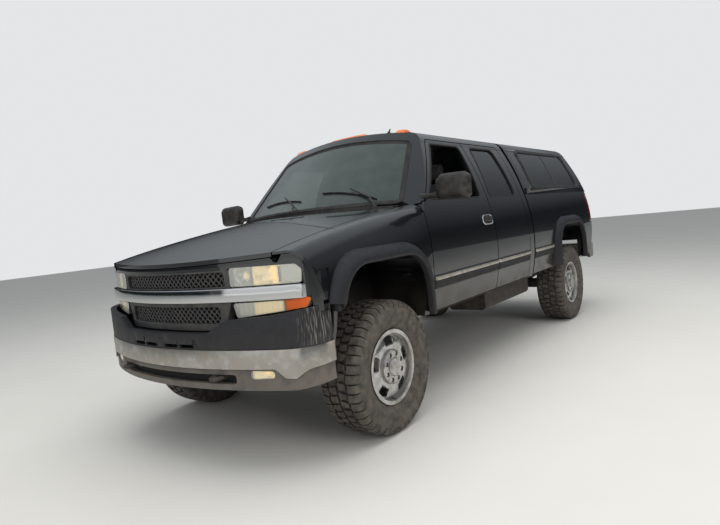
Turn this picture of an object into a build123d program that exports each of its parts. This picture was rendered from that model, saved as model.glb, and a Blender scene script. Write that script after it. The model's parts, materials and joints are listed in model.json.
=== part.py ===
from build123d import *
import math
import os

# Lifted extended-cab pickup with a canopy on its bed. All sizes are in millimetres.
# The truck is drawn with its front axle at y = 0 and its nose towards -Y; +X is its left
# side and +Z is up. "Aft" means the distance behind the front axle. save() then moves
# every piece so that the origin is on the ground, midway along the truck.

# Main proportions
WHEELBASE = 3645.0
FRONT_OVERHANG = 960.0
REAR_OVERHANG = 1120.0
HALF_TRACK = 862.0

# Tyres and wheels
TYRE_R = 416.0
TYRE_WIDTH = 290.0
TREAD_WIDTH = 236.0
LIP_R = 233.0
RIM_WIDTH = 240.0
BEAD_GAP = 0.3
WHEEL_WALL = 9.0
SPOKES = 5
WINDOW_IN_R = 136.0
WINDOW_OUT_R = 194.0
LUGS = 8
LUG_PCD = 165.1
HUB_DRUM_R = 106.0
CAP_R = 58.0
SPINDLE_R = 32.0
RUN_GAP = 0.3
DISC_R = 168.0
DISC_THICK = 30.0

# Body side section, from sill to roof
SILL_X = 958.0
SILL_Z = 645.0
HALF_WIDTH = 1008.0
WAIST_Z = 1000.0
BELT_X = 945.0
BELT_Z = 1430.0
GLASS_X = 859.0
GLASS_Z = 1670.0
DRIP_X = 750.0
DRIP_Z = 1890.0
ROOF_CORNER_X = 706.0
ROOF_CORNER_Z = 1955.0
ROOF_EDGE_X = 600.0
ROOF_EDGE_Z = 1997.0
ROOF_Z = 2042.0
DOOR_WALL = 90.0
FRAME_WALL = 46.0
ROOF_WALL = 40.0

# Cab stations, aft of the front axle
FIREWALL = 480.0
DOOR_FRONT = 560.0
DOOR_SPLIT = 1650.0
DOOR_BACK = 2400.0
CAB_BACK = 2510.0
CAB_FLOOR = 720.0
PANEL_GAP = 8.0
FLANGE = 12.0
FLANGE_INSET = 22.0
DOOR_BOTTOM = 655.0
DOOR_TOP = 1918.0

# Windscreen, part of a wide cylinder that leans back
SCREEN_BASE = 350.0
SCREEN_BASE_Z = 1428.0
SCREEN_LEAN = 45.5
SCREEN_R = 2500.0
SCREEN_GLASS = 6.0
GLASS_FIT = 0.3

# Bed and canopy
BED_FRONT = 2535.0
BED_BACK = 4560.0
RAIL_Z = 1440.0
BED_FLOOR = 905.0
BED_INNER_X = 790.0
BED_SKIRT_Z = 660.0
SKIN = 14.0
TAILGATE_THICK = 60.0
CANOPY_FRONT = 2548.0
CANOPY_BACK = 4600.0
CANOPY_TOP_BACK = 4450.0
CANOPY_WALL = 26.0
CANOPY_Z = 2046.0

# Wheel openings
ARCH_TOP = 1112.0
ARCH_HALF = 490.0
ARCH_CORNER_R = 250.0
FLARE_BAND = 78.0
FLARE_X = 1066.0

# Nose and bumper, cut on a wide arc in plan
NOSE_R = 2151.0
NOSE_FRONT = -890.0
NOSE_HALF = 925.0
NOSE_DEPTH = 60.0
HOOD_LIP_Z = 1172.0
BUMPER_R = 2200.0
BUMPER_HALF = 986.0
BUMPER_BACK = -530.0
BUMPER_WALL = 45.0
BUMPER_CORNER_R = 210.0
HOOD_THICK = 24.0
FENDER_THICK = 13.7
HOOD_EDGE_FRONT = 778.0
HOOD_EDGE_BACK = 846.0
HOOD_BACK = 400.0
GRILLE_HALF = 482.0
LAMP_OUT = 905.0
BAR_LOW = 962.0
BAR_HIGH = 1040.0

# Chassis
RAIL_X = 395.0
RAIL_WIDTH = 70.0
RAIL_TOP = 690.0
RAIL_DEPTH = 150.0
AXLE_TUBE_R = 55.0
KINGPIN_X = 760.0
ARM_LOW_Z = 322.0
ARM_HIGH_Z = 545.0
ARM_THICK = 24.0
STEER_ARM = 165.0
LINK_R = 14.0
SPRING_X = 480.0
SPRING_WIDTH = 75.0

REAR_AXLE = WHEELBASE
MIDDLE = (WHEELBASE + REAR_OVERHANG - FRONT_OVERHANG) / 2
FAR = 7000.0


def save(name, shape):
    """Moves one piece into the row frame and writes it."""
    os.makedirs("parts", exist_ok=True)
    solids = shape.solids() if hasattr(shape, "solids") else shape
    placed = [Location((0, -MIDDLE, 0)) * s for s in solids]
    export_step(placed[0] if len(placed) == 1 else Compound(children=placed), f"parts/{name}.step")


def both(shape):
    """A left piece and its mirror image on the right."""
    return Compound(children=[*shape.solids(), *mirror(shape, about=Plane.YZ).solids()])


def outline(points, radii=None):
    """A closed face from corner points, rounded where radii says so."""
    if radii is None:
        return make_face(Polyline(*points, close=True))
    return make_face(FilletPolyline(*points, radius=radii, close=True))


def side_prism(face, x0, x1):
    """A face drawn as (aft, up), from x0 to x1."""
    return extrude(Plane.YZ.offset(x0) * face, amount=x1 - x0, dir=(1, 0, 0))


def front_prism(face, y0, y1):
    """A face drawn as (x, up), from y0 to y1 aft."""
    plane = Plane(origin=(0, y0, 0), x_dir=(1, 0, 0), z_dir=(0, -1, 0))
    return extrude(plane * face, amount=y1 - y0, dir=(0, 1, 0))


def plan_prism(face, z0, z1):
    """A face drawn as (x, aft), from z0 to z1."""
    return extrude(Plane.XY.offset(z0) * face, amount=z1 - z0, dir=(0, 0, 1))


def block(x0, x1, y0, y1, z0, z1):
    return Pos((x0 + x1) / 2, (y0 + y1) / 2, (z0 + z1) / 2) * Box(x1 - x0, y1 - y0, z1 - z0)


def rod(start, end, radius):
    """A round bar between two points."""
    a, b = Vector(*start), Vector(*end)
    return extrude(Plane(origin=a, z_dir=b - a) * Circle(radius), amount=(b - a).length)


def cross_rod(x0, x1, y, z, radius):
    return rod((x0, y, z), (x1, y, z), radius)


def tube_path(points, radii, radius):
    """A round bar swept along straight runs joined by arcs."""
    path = FilletPolyline(*points, radius=radii)
    section = Plane(origin=path @ 0, z_dir=path % 0) * Circle(radius)
    return sweep(section, path=path)


def closed(edges):
    """A face from right-hand edges, mirrored about the truck's centre."""
    whole = Curve() + edges + [mirror(e, about=Plane.YZ) for e in edges]
    return make_face(whole)


def circle_x(a, b, c, z):
    """Outer x, at height z, of the arc through three (x, z) points."""
    (ax, az), (bx, bz), (cx, cz) = a, b, c
    d = 2 * (ax * (bz - cz) + bx * (cz - az) + cx * (az - bz))
    a2, b2, c2 = ax * ax + az * az, bx * bx + bz * bz, cx * cx + cz * cz
    ox = (a2 * (bz - cz) + b2 * (cz - az) + c2 * (az - bz)) / d
    oz = (a2 * (cx - bx) + b2 * (ax - cx) + c2 * (bx - ax)) / d
    r = math.hypot(ax - ox, az - oz)
    return ox + math.sqrt(max(r * r - (z - oz) ** 2, 0.0))


def side_x(z):
    """Half width of the body side at height z, below the belt."""
    return circle_x((SILL_X, SILL_Z), (HALF_WIDTH, WAIST_Z), (BELT_X, BELT_Z), z)


def cab_section(wall, frame, roof, floor, roof_z=ROOF_Z):
    """The closed cross-section of cab or canopy, inset by its wall thicknesses."""
    sill_x = side_x(floor) - wall if floor > SILL_Z else SILL_X - wall
    sill, waist = (sill_x, floor), (HALF_WIDTH - wall, max(WAIST_Z, floor + 60))
    low_belt, belt = (BELT_X - wall, BELT_Z), (BELT_X - frame, BELT_Z)
    drip = (DRIP_X - frame, DRIP_Z - frame / 4)
    edge = (ROOF_EDGE_X - roof / 2, ROOF_EDGE_Z - roof)
    corner = (ROOF_CORNER_X - 0.72 * frame, ROOF_CORNER_Z - 0.72 * roof)
    edges = [
        Line((0, floor), sill),
        ThreePointArc(sill, waist, low_belt),
        ThreePointArc(belt, (GLASS_X - frame, GLASS_Z), drip),
        ThreePointArc(drip, corner, edge),
    ]
    if wall != frame:
        edges.append(Line(low_belt, belt))
    rise = ThreePointArc(edge, (0, roof_z - roof), (-edge[0], edge[1]))
    whole = Curve() + edges + [mirror(e, about=Plane.YZ) for e in edges] + [rise]
    return make_face(whole)


# Windscreen surface
LEAN = math.radians(SCREEN_LEAN)
SCREEN_UP = Vector(0, math.cos(LEAN), math.sin(LEAN))
SCREEN_OUT = Vector(0, -math.sin(LEAN), math.cos(LEAN))
SCREEN_ORIGIN = Vector(0, SCREEN_BASE, SCREEN_BASE_Z)


def behind_screen(inset):
    """All that lies behind the windscreen's curved surface."""
    axis = Plane(origin=SCREEN_ORIGIN - SCREEN_OUT * SCREEN_R, z_dir=SCREEN_UP)
    return axis * Cylinder(SCREEN_R - inset, 2 * FAR)


def screen_opening(grow):
    """A prism through the windscreen's aperture, drawn on its leaning plane."""
    low, corner, high = 36 - grow, 141 - grow, 770 + grow
    wide_low, wide_high = 808 + grow, 676 + grow
    edges = [
        ThreePointArc((-wide_low, corner), (0, low), (wide_low, corner)),
        Line((wide_low, corner), (wide_high, high)),
        ThreePointArc((wide_high, high), (0, high + 8), (-wide_high, high)),
        Line((-wide_high, high), (-wide_low, corner)),
    ]
    face = make_face(Curve() + edges)
    face = fillet(face.vertices(), 55 + grow)
    plane = Plane(origin=SCREEN_ORIGIN + SCREEN_OUT * 100, x_dir=(1, 0, 0), z_dir=SCREEN_OUT)
    return extrude(plane * face, amount=-500)


# Nose loft: (aft, waist x, shoulder start x and z, shoulder middle x and z, top edge z, centre z)
NOSE_STATIONS = [
    (-930.0, 985.0, 958.0, 1085.0, 925.0, 1138.0, 1163.0, 1184.0),
    (-760.0, 992.0, 962.0, 1120.0, 928.0, 1178.0, 1206.0, 1232.0),
    (-300.0, 1002.0, 960.0, 1210.0, 924.0, 1272.0, 1301.0, 1345.0),
    (552.0, HALF_WIDTH, 0.0, 1340.0, 920.0, 1394.0, 1417.0, 1448.0),
]
SHOULDER_IN = 852.0


def nose_solid(inset):
    """The front body from sill to hood top, smaller by inset all round."""
    faces = []
    for aft, waist, sx, sz, mx, mz, top, centre in NOSE_STATIONS:
        start_x = (sx or side_x(sz)) - inset
        sill = (waist - (HALF_WIDTH - SILL_X) - inset, SILL_Z)
        edges = [
            Line((0, SILL_Z), sill),
            ThreePointArc(sill, (waist - inset, WAIST_Z - 40), (start_x, sz)),
            ThreePointArc((start_x, sz), (mx - 0.8 * inset, mz - 0.6 * inset), (SHOULDER_IN, top - inset)),
        ]
        rise = ThreePointArc((SHOULDER_IN, top - inset), (0, centre - inset), (-SHOULDER_IN, top - inset))
        whole = Curve() + edges + [mirror(e, about=Plane.YZ) for e in edges] + [rise]
        plane = Plane(origin=(0, aft, 0), x_dir=(1, 0, 0), z_dir=(0, -1, 0))
        faces.append(plane * make_face(whole))
    return loft(faces)


def plan_arc(front, radius, half, corner, back, inset):
    """A plan outline: a wide arc in front, rounded corners and straight sides."""
    x = half - inset
    y0 = front + inset
    side_y = y0 + radius - math.sqrt(radius * radius - x * x)
    edges = [
        ThreePointArc((-x, side_y), (0, y0), (x, side_y)),
        Line((x, side_y), (x, back)),
        Line((x, back), (-x, back)),
        Line((-x, back), (-x, side_y)),
    ]
    face = make_face(Curve() + edges)
    front_corners = face.vertices().sort_by(Axis.Y)[:2]
    return fillet(front_corners, max(corner - inset, 20))


def nose_plan(inset, z0, z1):
    return plan_prism(plan_arc(NOSE_FRONT, NOSE_R, HALF_WIDTH, 190, 700, inset), z0, z1)


def bumper_plan(inset, z0, z1, back=BUMPER_BACK):
    face = plan_arc(-FRONT_OVERHANG, BUMPER_R, BUMPER_HALF, BUMPER_CORNER_R, back, inset)
    return plan_prism(face, z0, z1)


def arch_face(centre, grow, low):
    """The squared wheel opening, drawn as (aft, up)."""
    half, top = ARCH_HALF + grow, ARCH_TOP + grow
    points = [(centre - half, low), (centre - half + 24, top), (centre + half - 40, top), (centre + half, low)]
    radii = [0, ARCH_CORNER_R + grow, ARCH_CORNER_R + grow, 0]
    return outline(points, radii)


def arch_cut(centre, grow, x0, x1, low=400):
    return side_prism(arch_face(centre, grow, low), x0, x1)



# Wheels and tyres
TYRE_SECTION = [
    # (x, radius)
    (-107.4, 218.2), (-109.4, 233.4), (-128, 242), (-145, 300), (-139, 356), (-124, 400), (-108, 411),
    (0, TYRE_R), (108, 411), (124, 400), (139, 356), (145, 300), (128, 242), (109.4, 233.4), (107.4, 218.2),
    (96, 217.2), (106, 246), (131, 300), (126, 352), (110, 388), (0, 398),
    (-110, 388), (-126, 352), (-131, 300), (-106, 246), (-96, 217.2),
]
RIM_SECTION = [
    # (x, radius)
    (-120, 233), (-110, 233), (-108, 217.7), (-72, 214), (-58, 198), (30, 198), (48, 214),
    (108, 217.7), (110, 233), (120, 233), (118, 210), (100, 205), (54, 205), (36, 189),
    (-64, 189), (-78, 205), (-120, 207),
]
FACE_SECTION = [
    # (x, radius): the wheel's face, its hub drum, the plain cap and the turning hub
    (62, 207), (66, 150), (62, 100), (-22, 80), (-22, SPINDLE_R + RUN_GAP), (46, SPINDLE_R + RUN_GAP),
    (46, 0), (142, 0), (138, CAP_R - 6), (130, CAP_R), (126, CAP_R), (126, HUB_DRUM_R - 8),
    (118, HUB_DRUM_R), (98, HUB_DRUM_R + 4), (98, 150), (86, 207),
]


def around_x(points):
    """A section of (x, radius) turned about the X axis."""
    return revolve(Plane.XY * outline(points), axis=Axis.X)


def x_cylinder(x0, x1, radius):
    return cross_rod(x0, x1, 0, 0, radius)


def make_rim():
    """Left wheel, outer face towards +X, with its hub and brake disc."""
    wheel = around_x(RIM_SECTION) + around_x(FACE_SECTION)
    window = outline([(-58, WINDOW_IN_R), (58, WINDOW_IN_R), (88, 168), (70, WINDOW_OUT_R),
                      (-70, WINDOW_OUT_R), (-88, 168)], [14, 14, 12, 14, 14, 12])
    cutter = side_prism(window, 50, 110)
    for i in range(SPOKES):
        wheel -= Rot(X=360 / SPOKES * i) * cutter
    pocket = rod((92, 0, LUG_PCD / 2), (140, 0, LUG_PCD / 2), 15)
    nut = rod((91, 0, LUG_PCD / 2), (112, 0, LUG_PCD / 2), 10.5)
    for i in range(LUGS):
        turn = Rot(X=360 / LUGS * (i + 0.5))
        wheel -= turn * pocket
        wheel += turn * nut
    disc = x_cylinder(-52, -52 + DISC_THICK, 150) - x_cylinder(-60, 0, SPINDLE_R + RUN_GAP)
    return wheel + disc


def caliper():
    """Brake caliper ahead of the axle; the disc turns in its slot."""
    shape = block(-76, -4, -182, -100, -60, 60) & x_cylinder(-80, 0, 182)
    shape -= x_cylinder(-58, -16, 156)
    return shape + block(-76, -57, -125, 0, -34, 34)


def wheel_at(shape, aft, left):
    placed = Pos(HALF_TRACK, aft, TYRE_R) * shape
    return placed if left else mirror(placed, about=Plane.YZ)


rim = make_rim()
tyre = around_x(TYRE_SECTION)
for end, aft in (("front", 0.0), ("rear", REAR_AXLE)):
    for side in ("left", "right"):
        save(f"rim_{end}_{side}", wheel_at(rim, aft, side == "left"))
        save(f"tyre_{end}_{side}", wheel_at(tyre, aft, side == "left"))

# Front suspension: fixed arms, differential and half shafts
CV_BALL_R = 26.0
PIN_R = 12.0
PIN_FIT = 0.3
LINK_Y = 127.0
LINK_Z = 374.0
STEER_ARM = 135.0


def arm(z, inner_x, front, back, ball_half, bar):
    """A flat A-shaped arm from two inner pivots to the ball joint."""
    outer = [(inner_x, front), (KINGPIN_X - 20, -ball_half), (KINGPIN_X + 26, -ball_half + 8),
             (KINGPIN_X + 26, ball_half - 8), (KINGPIN_X - 20, ball_half), (inner_x, back),
             (inner_x, back - bar), (KINGPIN_X - 110, 0), (inner_x, front + bar)]
    return plan_prism(outline(outer), z - ARM_THICK / 2, z + ARM_THICK / 2)


low_arm = arm(ARM_LOW_Z, 305, -190, 252, 34, 100)
low_arm += rod((KINGPIN_X, 0, ARM_LOW_Z), (KINGPIN_X, 0, 366), PIN_R)
high_arm = arm(ARM_HIGH_Z, RAIL_X + RAIL_WIDTH / 2 + 0.3, -150, 150, 30, 46)
high_arm += rod((KINGPIN_X, 0, ARM_HIGH_Z), (KINGPIN_X, 0, 504), PIN_R)
SHAFT_SECTION = [
    # (x, radius) of the front differential and the half shaft
    (0, 0), (0, 112), (84, 112), (124, 84), (150, 60), (205, 52), (215, 46), (285, 26), (290, 16),
    (KINGPIN_X - 10, 16), (KINGPIN_X - 10, 0),
]
half_shaft = around_x(SHAFT_SECTION)
front_diff = half_shaft + mirror(half_shaft, about=Plane.YZ)
for x in (-KINGPIN_X, KINGPIN_X):
    front_diff += Pos(x, 0, 0) * Sphere(CV_BALL_R)
front_diff = Pos(0, 0, TYRE_R) * front_diff + block(-50, 50, -129.7, -70, 420, 510)
save("front_axle", [*both(low_arm).solids(), *both(high_arm).solids(), *front_diff.solids()])

knuckle = block(790, 805, -46, 46, 340, 532)
knuckle += block(732, 805, -30, 30, 340, 366) + block(732, 805, -28, 28, 504, 528)
knuckle += rod((805, 0, TYRE_R), (902, 0, TYRE_R), SPINDLE_R)
knuckle += Pos(HALF_TRACK, 0, TYRE_R) * caliper()
knuckle += plan_prism(outline([(745, 20), (800, 20), (800, 60), (778, 150), (742, 150)]), 341, 352)
knuckle -= rod((KINGPIN_X, 0, 300), (KINGPIN_X, 0, 600), PIN_R + PIN_FIT)
save("knuckle_left", knuckle)
save("knuckle_right", mirror(knuckle, about=Plane.YZ))

link = cross_rod(-KINGPIN_X, KINGPIN_X, LINK_Y, LINK_Z, LINK_R - 3)
for x in (-KINGPIN_X, KINGPIN_X):
    link += rod((x, LINK_Y, LINK_Z - LINK_R), (x, LINK_Y, LINK_Z + LINK_R), 20)
save("steering_linkage", link)

# Chassis
RAIL_SIDE = [
    # (aft, height of the rail's middle)
    (-800, 585), (2540, 585), (2880, 715), (4560, 715),
]
top = [(y, z + RAIL_DEPTH / 2) for y, z in RAIL_SIDE]
low = [(y, z - RAIL_DEPTH / 2) for y, z in reversed(RAIL_SIDE)]
rail = side_prism(outline(top + low), RAIL_X - RAIL_WIDTH / 2, RAIL_X + RAIL_WIDTH / 2)
SPRING_HALF = 680.0
SPRING_RISE = 105.0
LEAF = 12.0
SPRING_BASE = TYRE_R + AXLE_TUBE_R + 0.3
EYE_Z = SPRING_BASE + SPRING_RISE + 3 * LEAF
rail_out = RAIL_X + RAIL_WIDTH / 2
for aft in (REAR_AXLE - SPRING_HALF, REAR_AXLE + SPRING_HALF):
    rail += block(rail_out - 10, SPRING_X + 40, aft - 34, aft + 34, EYE_Z + 22.3, 700)
rail += block(rail_out - 10, 516, -84, -32, 615, 650)
rail += block(280, rail_out - 10, REAR_AXLE + 75, REAR_AXLE + 135, 700, 740)
rail += block(270.3, rail_out - 10, -110, -40, 622, 655)
frame = both(rail)
CROSS = [
    # (front, back, low, high) of each cross member between the rails
    (-790, -730, 540, 640), (1400, 1470, 575, 640), (2120, 2190, 560, 640),
    (2900, 2960, 690, 770), (4300, 4360, 660, 770), (4500, 4560, 640, 790),
]
frame = frame.solids()
frame = frame[0] + frame[1]
for y0, y1, z0, z1 in CROSS:
    frame += block(-RAIL_X, RAIL_X, y0, y1, z0, z1)
for y0, y1 in ((-190, -130), (195, 252)):
    frame += block(-430, 430, y0, y1, 470, 520)
    frame += block(-330, 330, y0, y1, ARM_LOW_Z - 30, ARM_LOW_Z - ARM_THICK / 2 - 0.3)
    for x0, x1 in ((240, 304.7), (-304.7, -240)):
        frame += block(x0, x1, y0, y1, ARM_LOW_Z - 30, 520)
for x in (-250, 250):
    frame += block(x - 18, x + 18, LINK_Y - 14, 200, LINK_Z + LINK_R - 2.7, 424)
    frame += block(x - 18, x + 18, 180, 200, 400, 480)
for y in (640, 1500, 2300):
    for x in (-RAIL_X, RAIL_X):
        frame += rod((x, y, 600), (x, y, 689.7), 34)
for y in (2900, 3400, 3900, 4400):
    for x in (-RAIL_X, RAIL_X):
        frame += rod((x, y, 700), (x, y, 864.7), 34)
for x in (-RAIL_X, RAIL_X):
    frame += block(x - 30, x + 30, -960, -780, 545, 650)
    frame += block(min(x, x * 1.25), max(x, x * 1.25), -830, -800, 545, 600)
frame = frame & bumper_plan(BUMPER_WALL + 0.3, 200, 900, back=FAR)
for side in (-1, 1):
    frame += tube_path([(side * 472, -815, 558), (side * 472, -948, 558), (side * 418, -948, 558),
                        (side * 418, -815, 558)], 22, 11)
save("ladder_frame", frame)

engine = block(-270, 270, -440, 330, 620, 1040)
engine += block(-170, 170, 330, 1010, 500, 676) + block(-190, 260, 1010, 1290, 440, 670)
engine += rod((0, 1290, 520), (0, 3400, 440), 42)
engine += rod((190, 1015, 480), (190, 300, 440), 30)
save("powertrain", engine)

save("fuel_tank", fillet(block(430.3, 800, 1750, 2790, 440, 640).edges().filter_by(Axis.Y), 40))

muffler = rod((-230, 1560, 450), (-230, 2240, 450), 82)
pipe = tube_path([(-230, 420, 450), (-230, 3050, 450), (-230, 3330, 524), (-230, 3960, 524),
                  (-240, 4420, 540), (-930, 4430, 540)], 80, 32)
hangers = rod((-230, 1435, 450), (-230, 1435, 574.7), 8) + rod((-230, 2155, 450), (-230, 2155, 559.7), 8)
save("exhaust", muffler + pipe + hangers)

axle = cross_rod(-803, 803, REAR_AXLE, TYRE_R, AXLE_TUBE_R)
axle += cross_rod(-902, 902, REAR_AXLE, TYRE_R, SPINDLE_R)
axle += Pos(0, REAR_AXLE, TYRE_R) * around_x([(-150, 0), (-150, 70), (-90, 135), (-40, 150), (40, 150),
                                             (90, 135), (150, 70), (150, 0)])
axle += rod((0, REAR_AXLE - 240, 440), (0, REAR_AXLE, 430), 60)
left_caliper = Pos(HALF_TRACK, REAR_AXLE, TYRE_R) * caliper()
axle += left_caliper
axle += mirror(left_caliper, about=Plane.YZ)
for x in (-SPRING_X, SPRING_X):
    axle += block(x - 38, x + 38, REAR_AXLE - 62, REAR_AXLE + 62, TYRE_R + 20, TYRE_R + AXLE_TUBE_R)
for x in (-305, 305):
    axle += block(x - 36, x + 36, REAR_AXLE + 30, REAR_AXLE + 136, 400, 438)
save("rear_axle", axle)

SPRING_R = (SPRING_HALF ** 2 + SPRING_RISE ** 2) / (2 * SPRING_RISE)
springs = None
for i, half in enumerate((260, 450, SPRING_HALF)):
    centre_z = SPRING_BASE + SPRING_R
    outer_r = SPRING_R - LEAF * i
    ring = cross_rod(SPRING_X - 36, SPRING_X + 36, REAR_AXLE, centre_z, outer_r)
    ring -= cross_rod(SPRING_X - 40, SPRING_X + 40, REAR_AXLE, centre_z, outer_r - LEAF)
    leaf = ring & block(400, 560, REAR_AXLE - half, REAR_AXLE + half, 300, 900)
    springs = leaf if springs is None else springs + leaf
for aft in (REAR_AXLE - SPRING_HALF, REAR_AXLE + SPRING_HALF):
    springs += cross_rod(SPRING_X - 36, SPRING_X + 36, aft, EYE_Z, 22)
springs += block(SPRING_X - 40, SPRING_X + 40, REAR_AXLE - 60, REAR_AXLE + 60, SPRING_BASE + 20, SPRING_BASE + 50)
save("leaf_springs", both(springs))

# Shock absorbers: (x, aft, up) of the lower and of the upper end, and the body's radius
SHOCKS = [
    ((490, -58, ARM_LOW_Z + ARM_THICK / 2 + 0.3), (490, -58, 614.7), 24),
    ((305, REAR_AXLE + 105, 438.3), (305, REAR_AXLE + 105, 699.7), 30),
]
shocks = []
for low_end, high_end, radius in SHOCKS:
    a, b = Vector(*low_end), Vector(*high_end)
    middle = a + (b - a) * 0.55
    shock = rod(low_end, tuple(middle), radius) + rod(tuple(middle), high_end, 11)
    shocks += list(both(shock).solids())
save("shock_absorbers", shocks)
print("chassis done")

# Cab
cab_outer = front_prism(cab_section(0, 0, 0, SILL_Z), 200, CAB_BACK) & behind_screen(0)
cab_flange = front_prism(cab_section(FLANGE, FLANGE, FLANGE, SILL_Z), 200, CAB_BACK + 10)
cab_step = front_prism(cab_section(20, 20, 20, SILL_Z), 200, CAB_BACK + 10)
cabin = front_prism(cab_section(DOOR_WALL, FRAME_WALL, ROOF_WALL, CAB_FLOOR), 380, CAB_BACK - 60)
cabin = cabin & behind_screen(ROOF_WALL)
cabin -= block(-FAR, FAR, 300, FIREWALL + 30, 0, 1405)

door_inside = front_prism(cab_section(DOOR_WALL, FRAME_WALL, ROOF_WALL, SILL_Z), 380, CAB_BACK)
SILL_INNER_X = SILL_X - DOOR_WALL - PANEL_GAP

OPENING = [(552, 647), (552, 1427), (621, 1436), (1058, 1926), (2408, 1926), (2408, 647)]
OPENING_R = [46, 12, 24, 50, 60, 50]
opening = outline(OPENING, OPENING_R)
window_front = outline([(692, 1440), (1096, 1882), (1566, 1882), (1530, 1440)], [26, 30, 34, 30])
window_rear = outline([(1712, 1440), (1782, 1882), (2240, 1882), (2290, 1440)], [36, 44, 56, 46])


def door(front, back, inner_front, inner_back, window):
    """A left door: a thin outer flange over a thick inner part, with its window cut."""
    flange = side_prism(offset(opening, amount=-PANEL_GAP, kind=Kind.INTERSECTION), 500, 1100)
    flange = flange & cab_outer & block(0, FAR, front, back, 0, FAR)
    flange -= cab_flange
    body = side_prism(offset(opening, amount=-FLANGE_INSET, kind=Kind.INTERSECTION), 500, 1100)
    body = (body & cab_outer & block(0, FAR, inner_front, inner_back, 0, FAR)) - door_inside
    return flange + body - side_prism(window, 400, 1200)


def pane(window, inset, x_range=(400, 1200)):
    """A side window's glass, 5 mm thick, in its opening."""
    outer = front_prism(cab_section(inset, inset, inset, SILL_Z), 500, CAB_BACK)
    inner = front_prism(cab_section(inset + 5, inset + 5, inset + 5, SILL_Z), 490, CAB_BACK + 10)
    return (side_prism(offset(window, amount=-GLASS_FIT), *x_range) & outer) - inner


door_front = door(DOOR_FRONT, DOOR_SPLIT - 5, DOOR_FRONT, DOOR_SPLIT - 19, window_front)
door_rear = door(DOOR_SPLIT + 5, DOOR_BACK, DOOR_SPLIT + 19, DOOR_BACK, window_rear)
save("door_front_left", door_front)
save("door_front_right", mirror(door_front, about=Plane.YZ))
save("door_rear_left", door_rear)
save("door_rear_right", mirror(door_rear, about=Plane.YZ))
glass_rear = pane(window_rear, 12)
save("glass_rear_left", glass_rear)
save("glass_rear_right", mirror(glass_rear, about=Plane.YZ))

cab = cab_outer - cabin - block(-FAR, FAR, 0, FIREWALL, 0, 1385)
layer = side_prism(opening, 400, 1200) - cab_step
through = side_prism(offset(opening, amount=-FLANGE, kind=Kind.INTERSECTION), 400, 1200)
doorway = (layer + through) - block(0, SILL_INNER_X, 0, FAR, 0, CAB_FLOOR)
cab = cab - doorway - mirror(doorway, about=Plane.YZ)
cab -= block(-FAR, FAR, 300, 552, 0, FAR) - nose_solid(FENDER_THICK + GLASS_FIT)
cab -= block(-820, 820, 300, FAR, 0, CAB_FLOOR - 30)
HINGE_LEAVES = [
    # (low, high) of the hinge leaves on the door pillars
    (790, 850), (1270, 1330),
]
jamb_front = OPENING[0][0] + FLANGE
jamb_back = OPENING[-1][0] - FLANGE
for low, high in HINGE_LEAVES:
    leaf_front = block(922, 952, jamb_front - 5, OPENING[0][0] + FLANGE_INSET - 0.3, low, high)
    leaf_back = block(922, 952, OPENING[-1][0] - FLANGE_INSET + 0.3, jamb_back + 5, low, high)
    cab = cab + both(leaf_front).solids() + both(leaf_back).solids()
back_window = outline([(-560, 1500), (-520, 1850), (520, 1850), (560, 1500)], 60)
cab -= front_prism(back_window, 2400, 2600)
HOOD_ARC_CENTRE = 262.0
HOOD_ARC_R = 1830.0


def behind_hood(aft):
    """All that lies behind the arc of the hood's rear edge."""
    disc = Plane.XY * Pos(0, HOOD_ARC_CENTRE + aft + HOOD_ARC_R) * Circle(HOOD_ARC_R)
    return extrude(disc, amount=FAR)


cowl = (nose_solid(0) & behind_hood(PANEL_GAP)) - behind_hood(170)
cowl = cowl & block(-845, 845, 200, FIREWALL + 30, 1385, 2000)
cab += cowl & behind_screen(0)
cab -= screen_opening(0) & (behind_screen(-30) - behind_screen(80))
save("cab_shell", cab)

glass = screen_opening(-GLASS_FIT) & (behind_screen(2) - behind_screen(2 + SCREEN_GLASS))
back_pane = front_prism(offset(back_window, amount=-GLASS_FIT), 2490, 2496)

# Interior
dash = [(510.3, 1060), (510.3, 1392), (700, 1366), (800, 1300), (800, 1240), (740, 1120), (640, 1060)]
dashboard = side_prism(outline(dash, [0, 0, 30, 20, 20, 20, 20]), -832, 832)
WHEEL_CENTRE = Vector(400, 960, 1290)
COLUMN_TILT = math.radians(28)
COLUMN = Vector(0, math.cos(COLUMN_TILT), math.sin(COLUMN_TILT))
column_end = WHEEL_CENTRE - COLUMN * 45.3
dashboard += rod(tuple(WHEEL_CENTRE - COLUMN * 300), tuple(column_end), 34)
dashboard += block(-130, 130, 640, 790, 720.3, 1090)
dashboard = dashboard & behind_screen(ROOF_WALL + GLASS_FIT)
save("dashboard", dashboard)
wheel_plane = Plane(origin=WHEEL_CENTRE, x_dir=(1, 0, 0), z_dir=COLUMN)
steering = wheel_plane * Torus(182, 13)
hub = wheel_plane * (Pos(0, 0, -25) * Cylinder(62, 40))
steering += hub
for angle in (0, 180, 270):
    steering += wheel_plane * (Rot(Z=angle) * (Pos(110, 0, -12) * Box(150, 34, 16)))
save("steering_wheel", steering)


def front_seat(x):
    seat = fillet(block(x - 265, x + 265, 1080, 1600, 860, 1040).edges(), 40)
    base = block(x - 200, x + 200, 1140, 1560, 720.3, 870)
    side = outline([(1560, 980), (1500, 1040), (1640, 1640), (1740, 1640), (1700, 980)], 35)
    head = block(x - 130, x + 130, 1660, 1750, 1620, 1790)
    return seat + base + side_prism(side, x - 250, x + 250) + fillet(head.edges(), 30)


save("seat_front_left", front_seat(400))
save("seat_front_right", front_seat(-400))
bench = outline([(2020, 720.3), (2000, 1040), (2300, 1060), (2360, 1560), (2449.7, 1560), (2449.7, 720.3)],
                [0, 40, 30, 30, 0, 0])
save("seat_rear", side_prism(bench, -800, 800))

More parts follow.
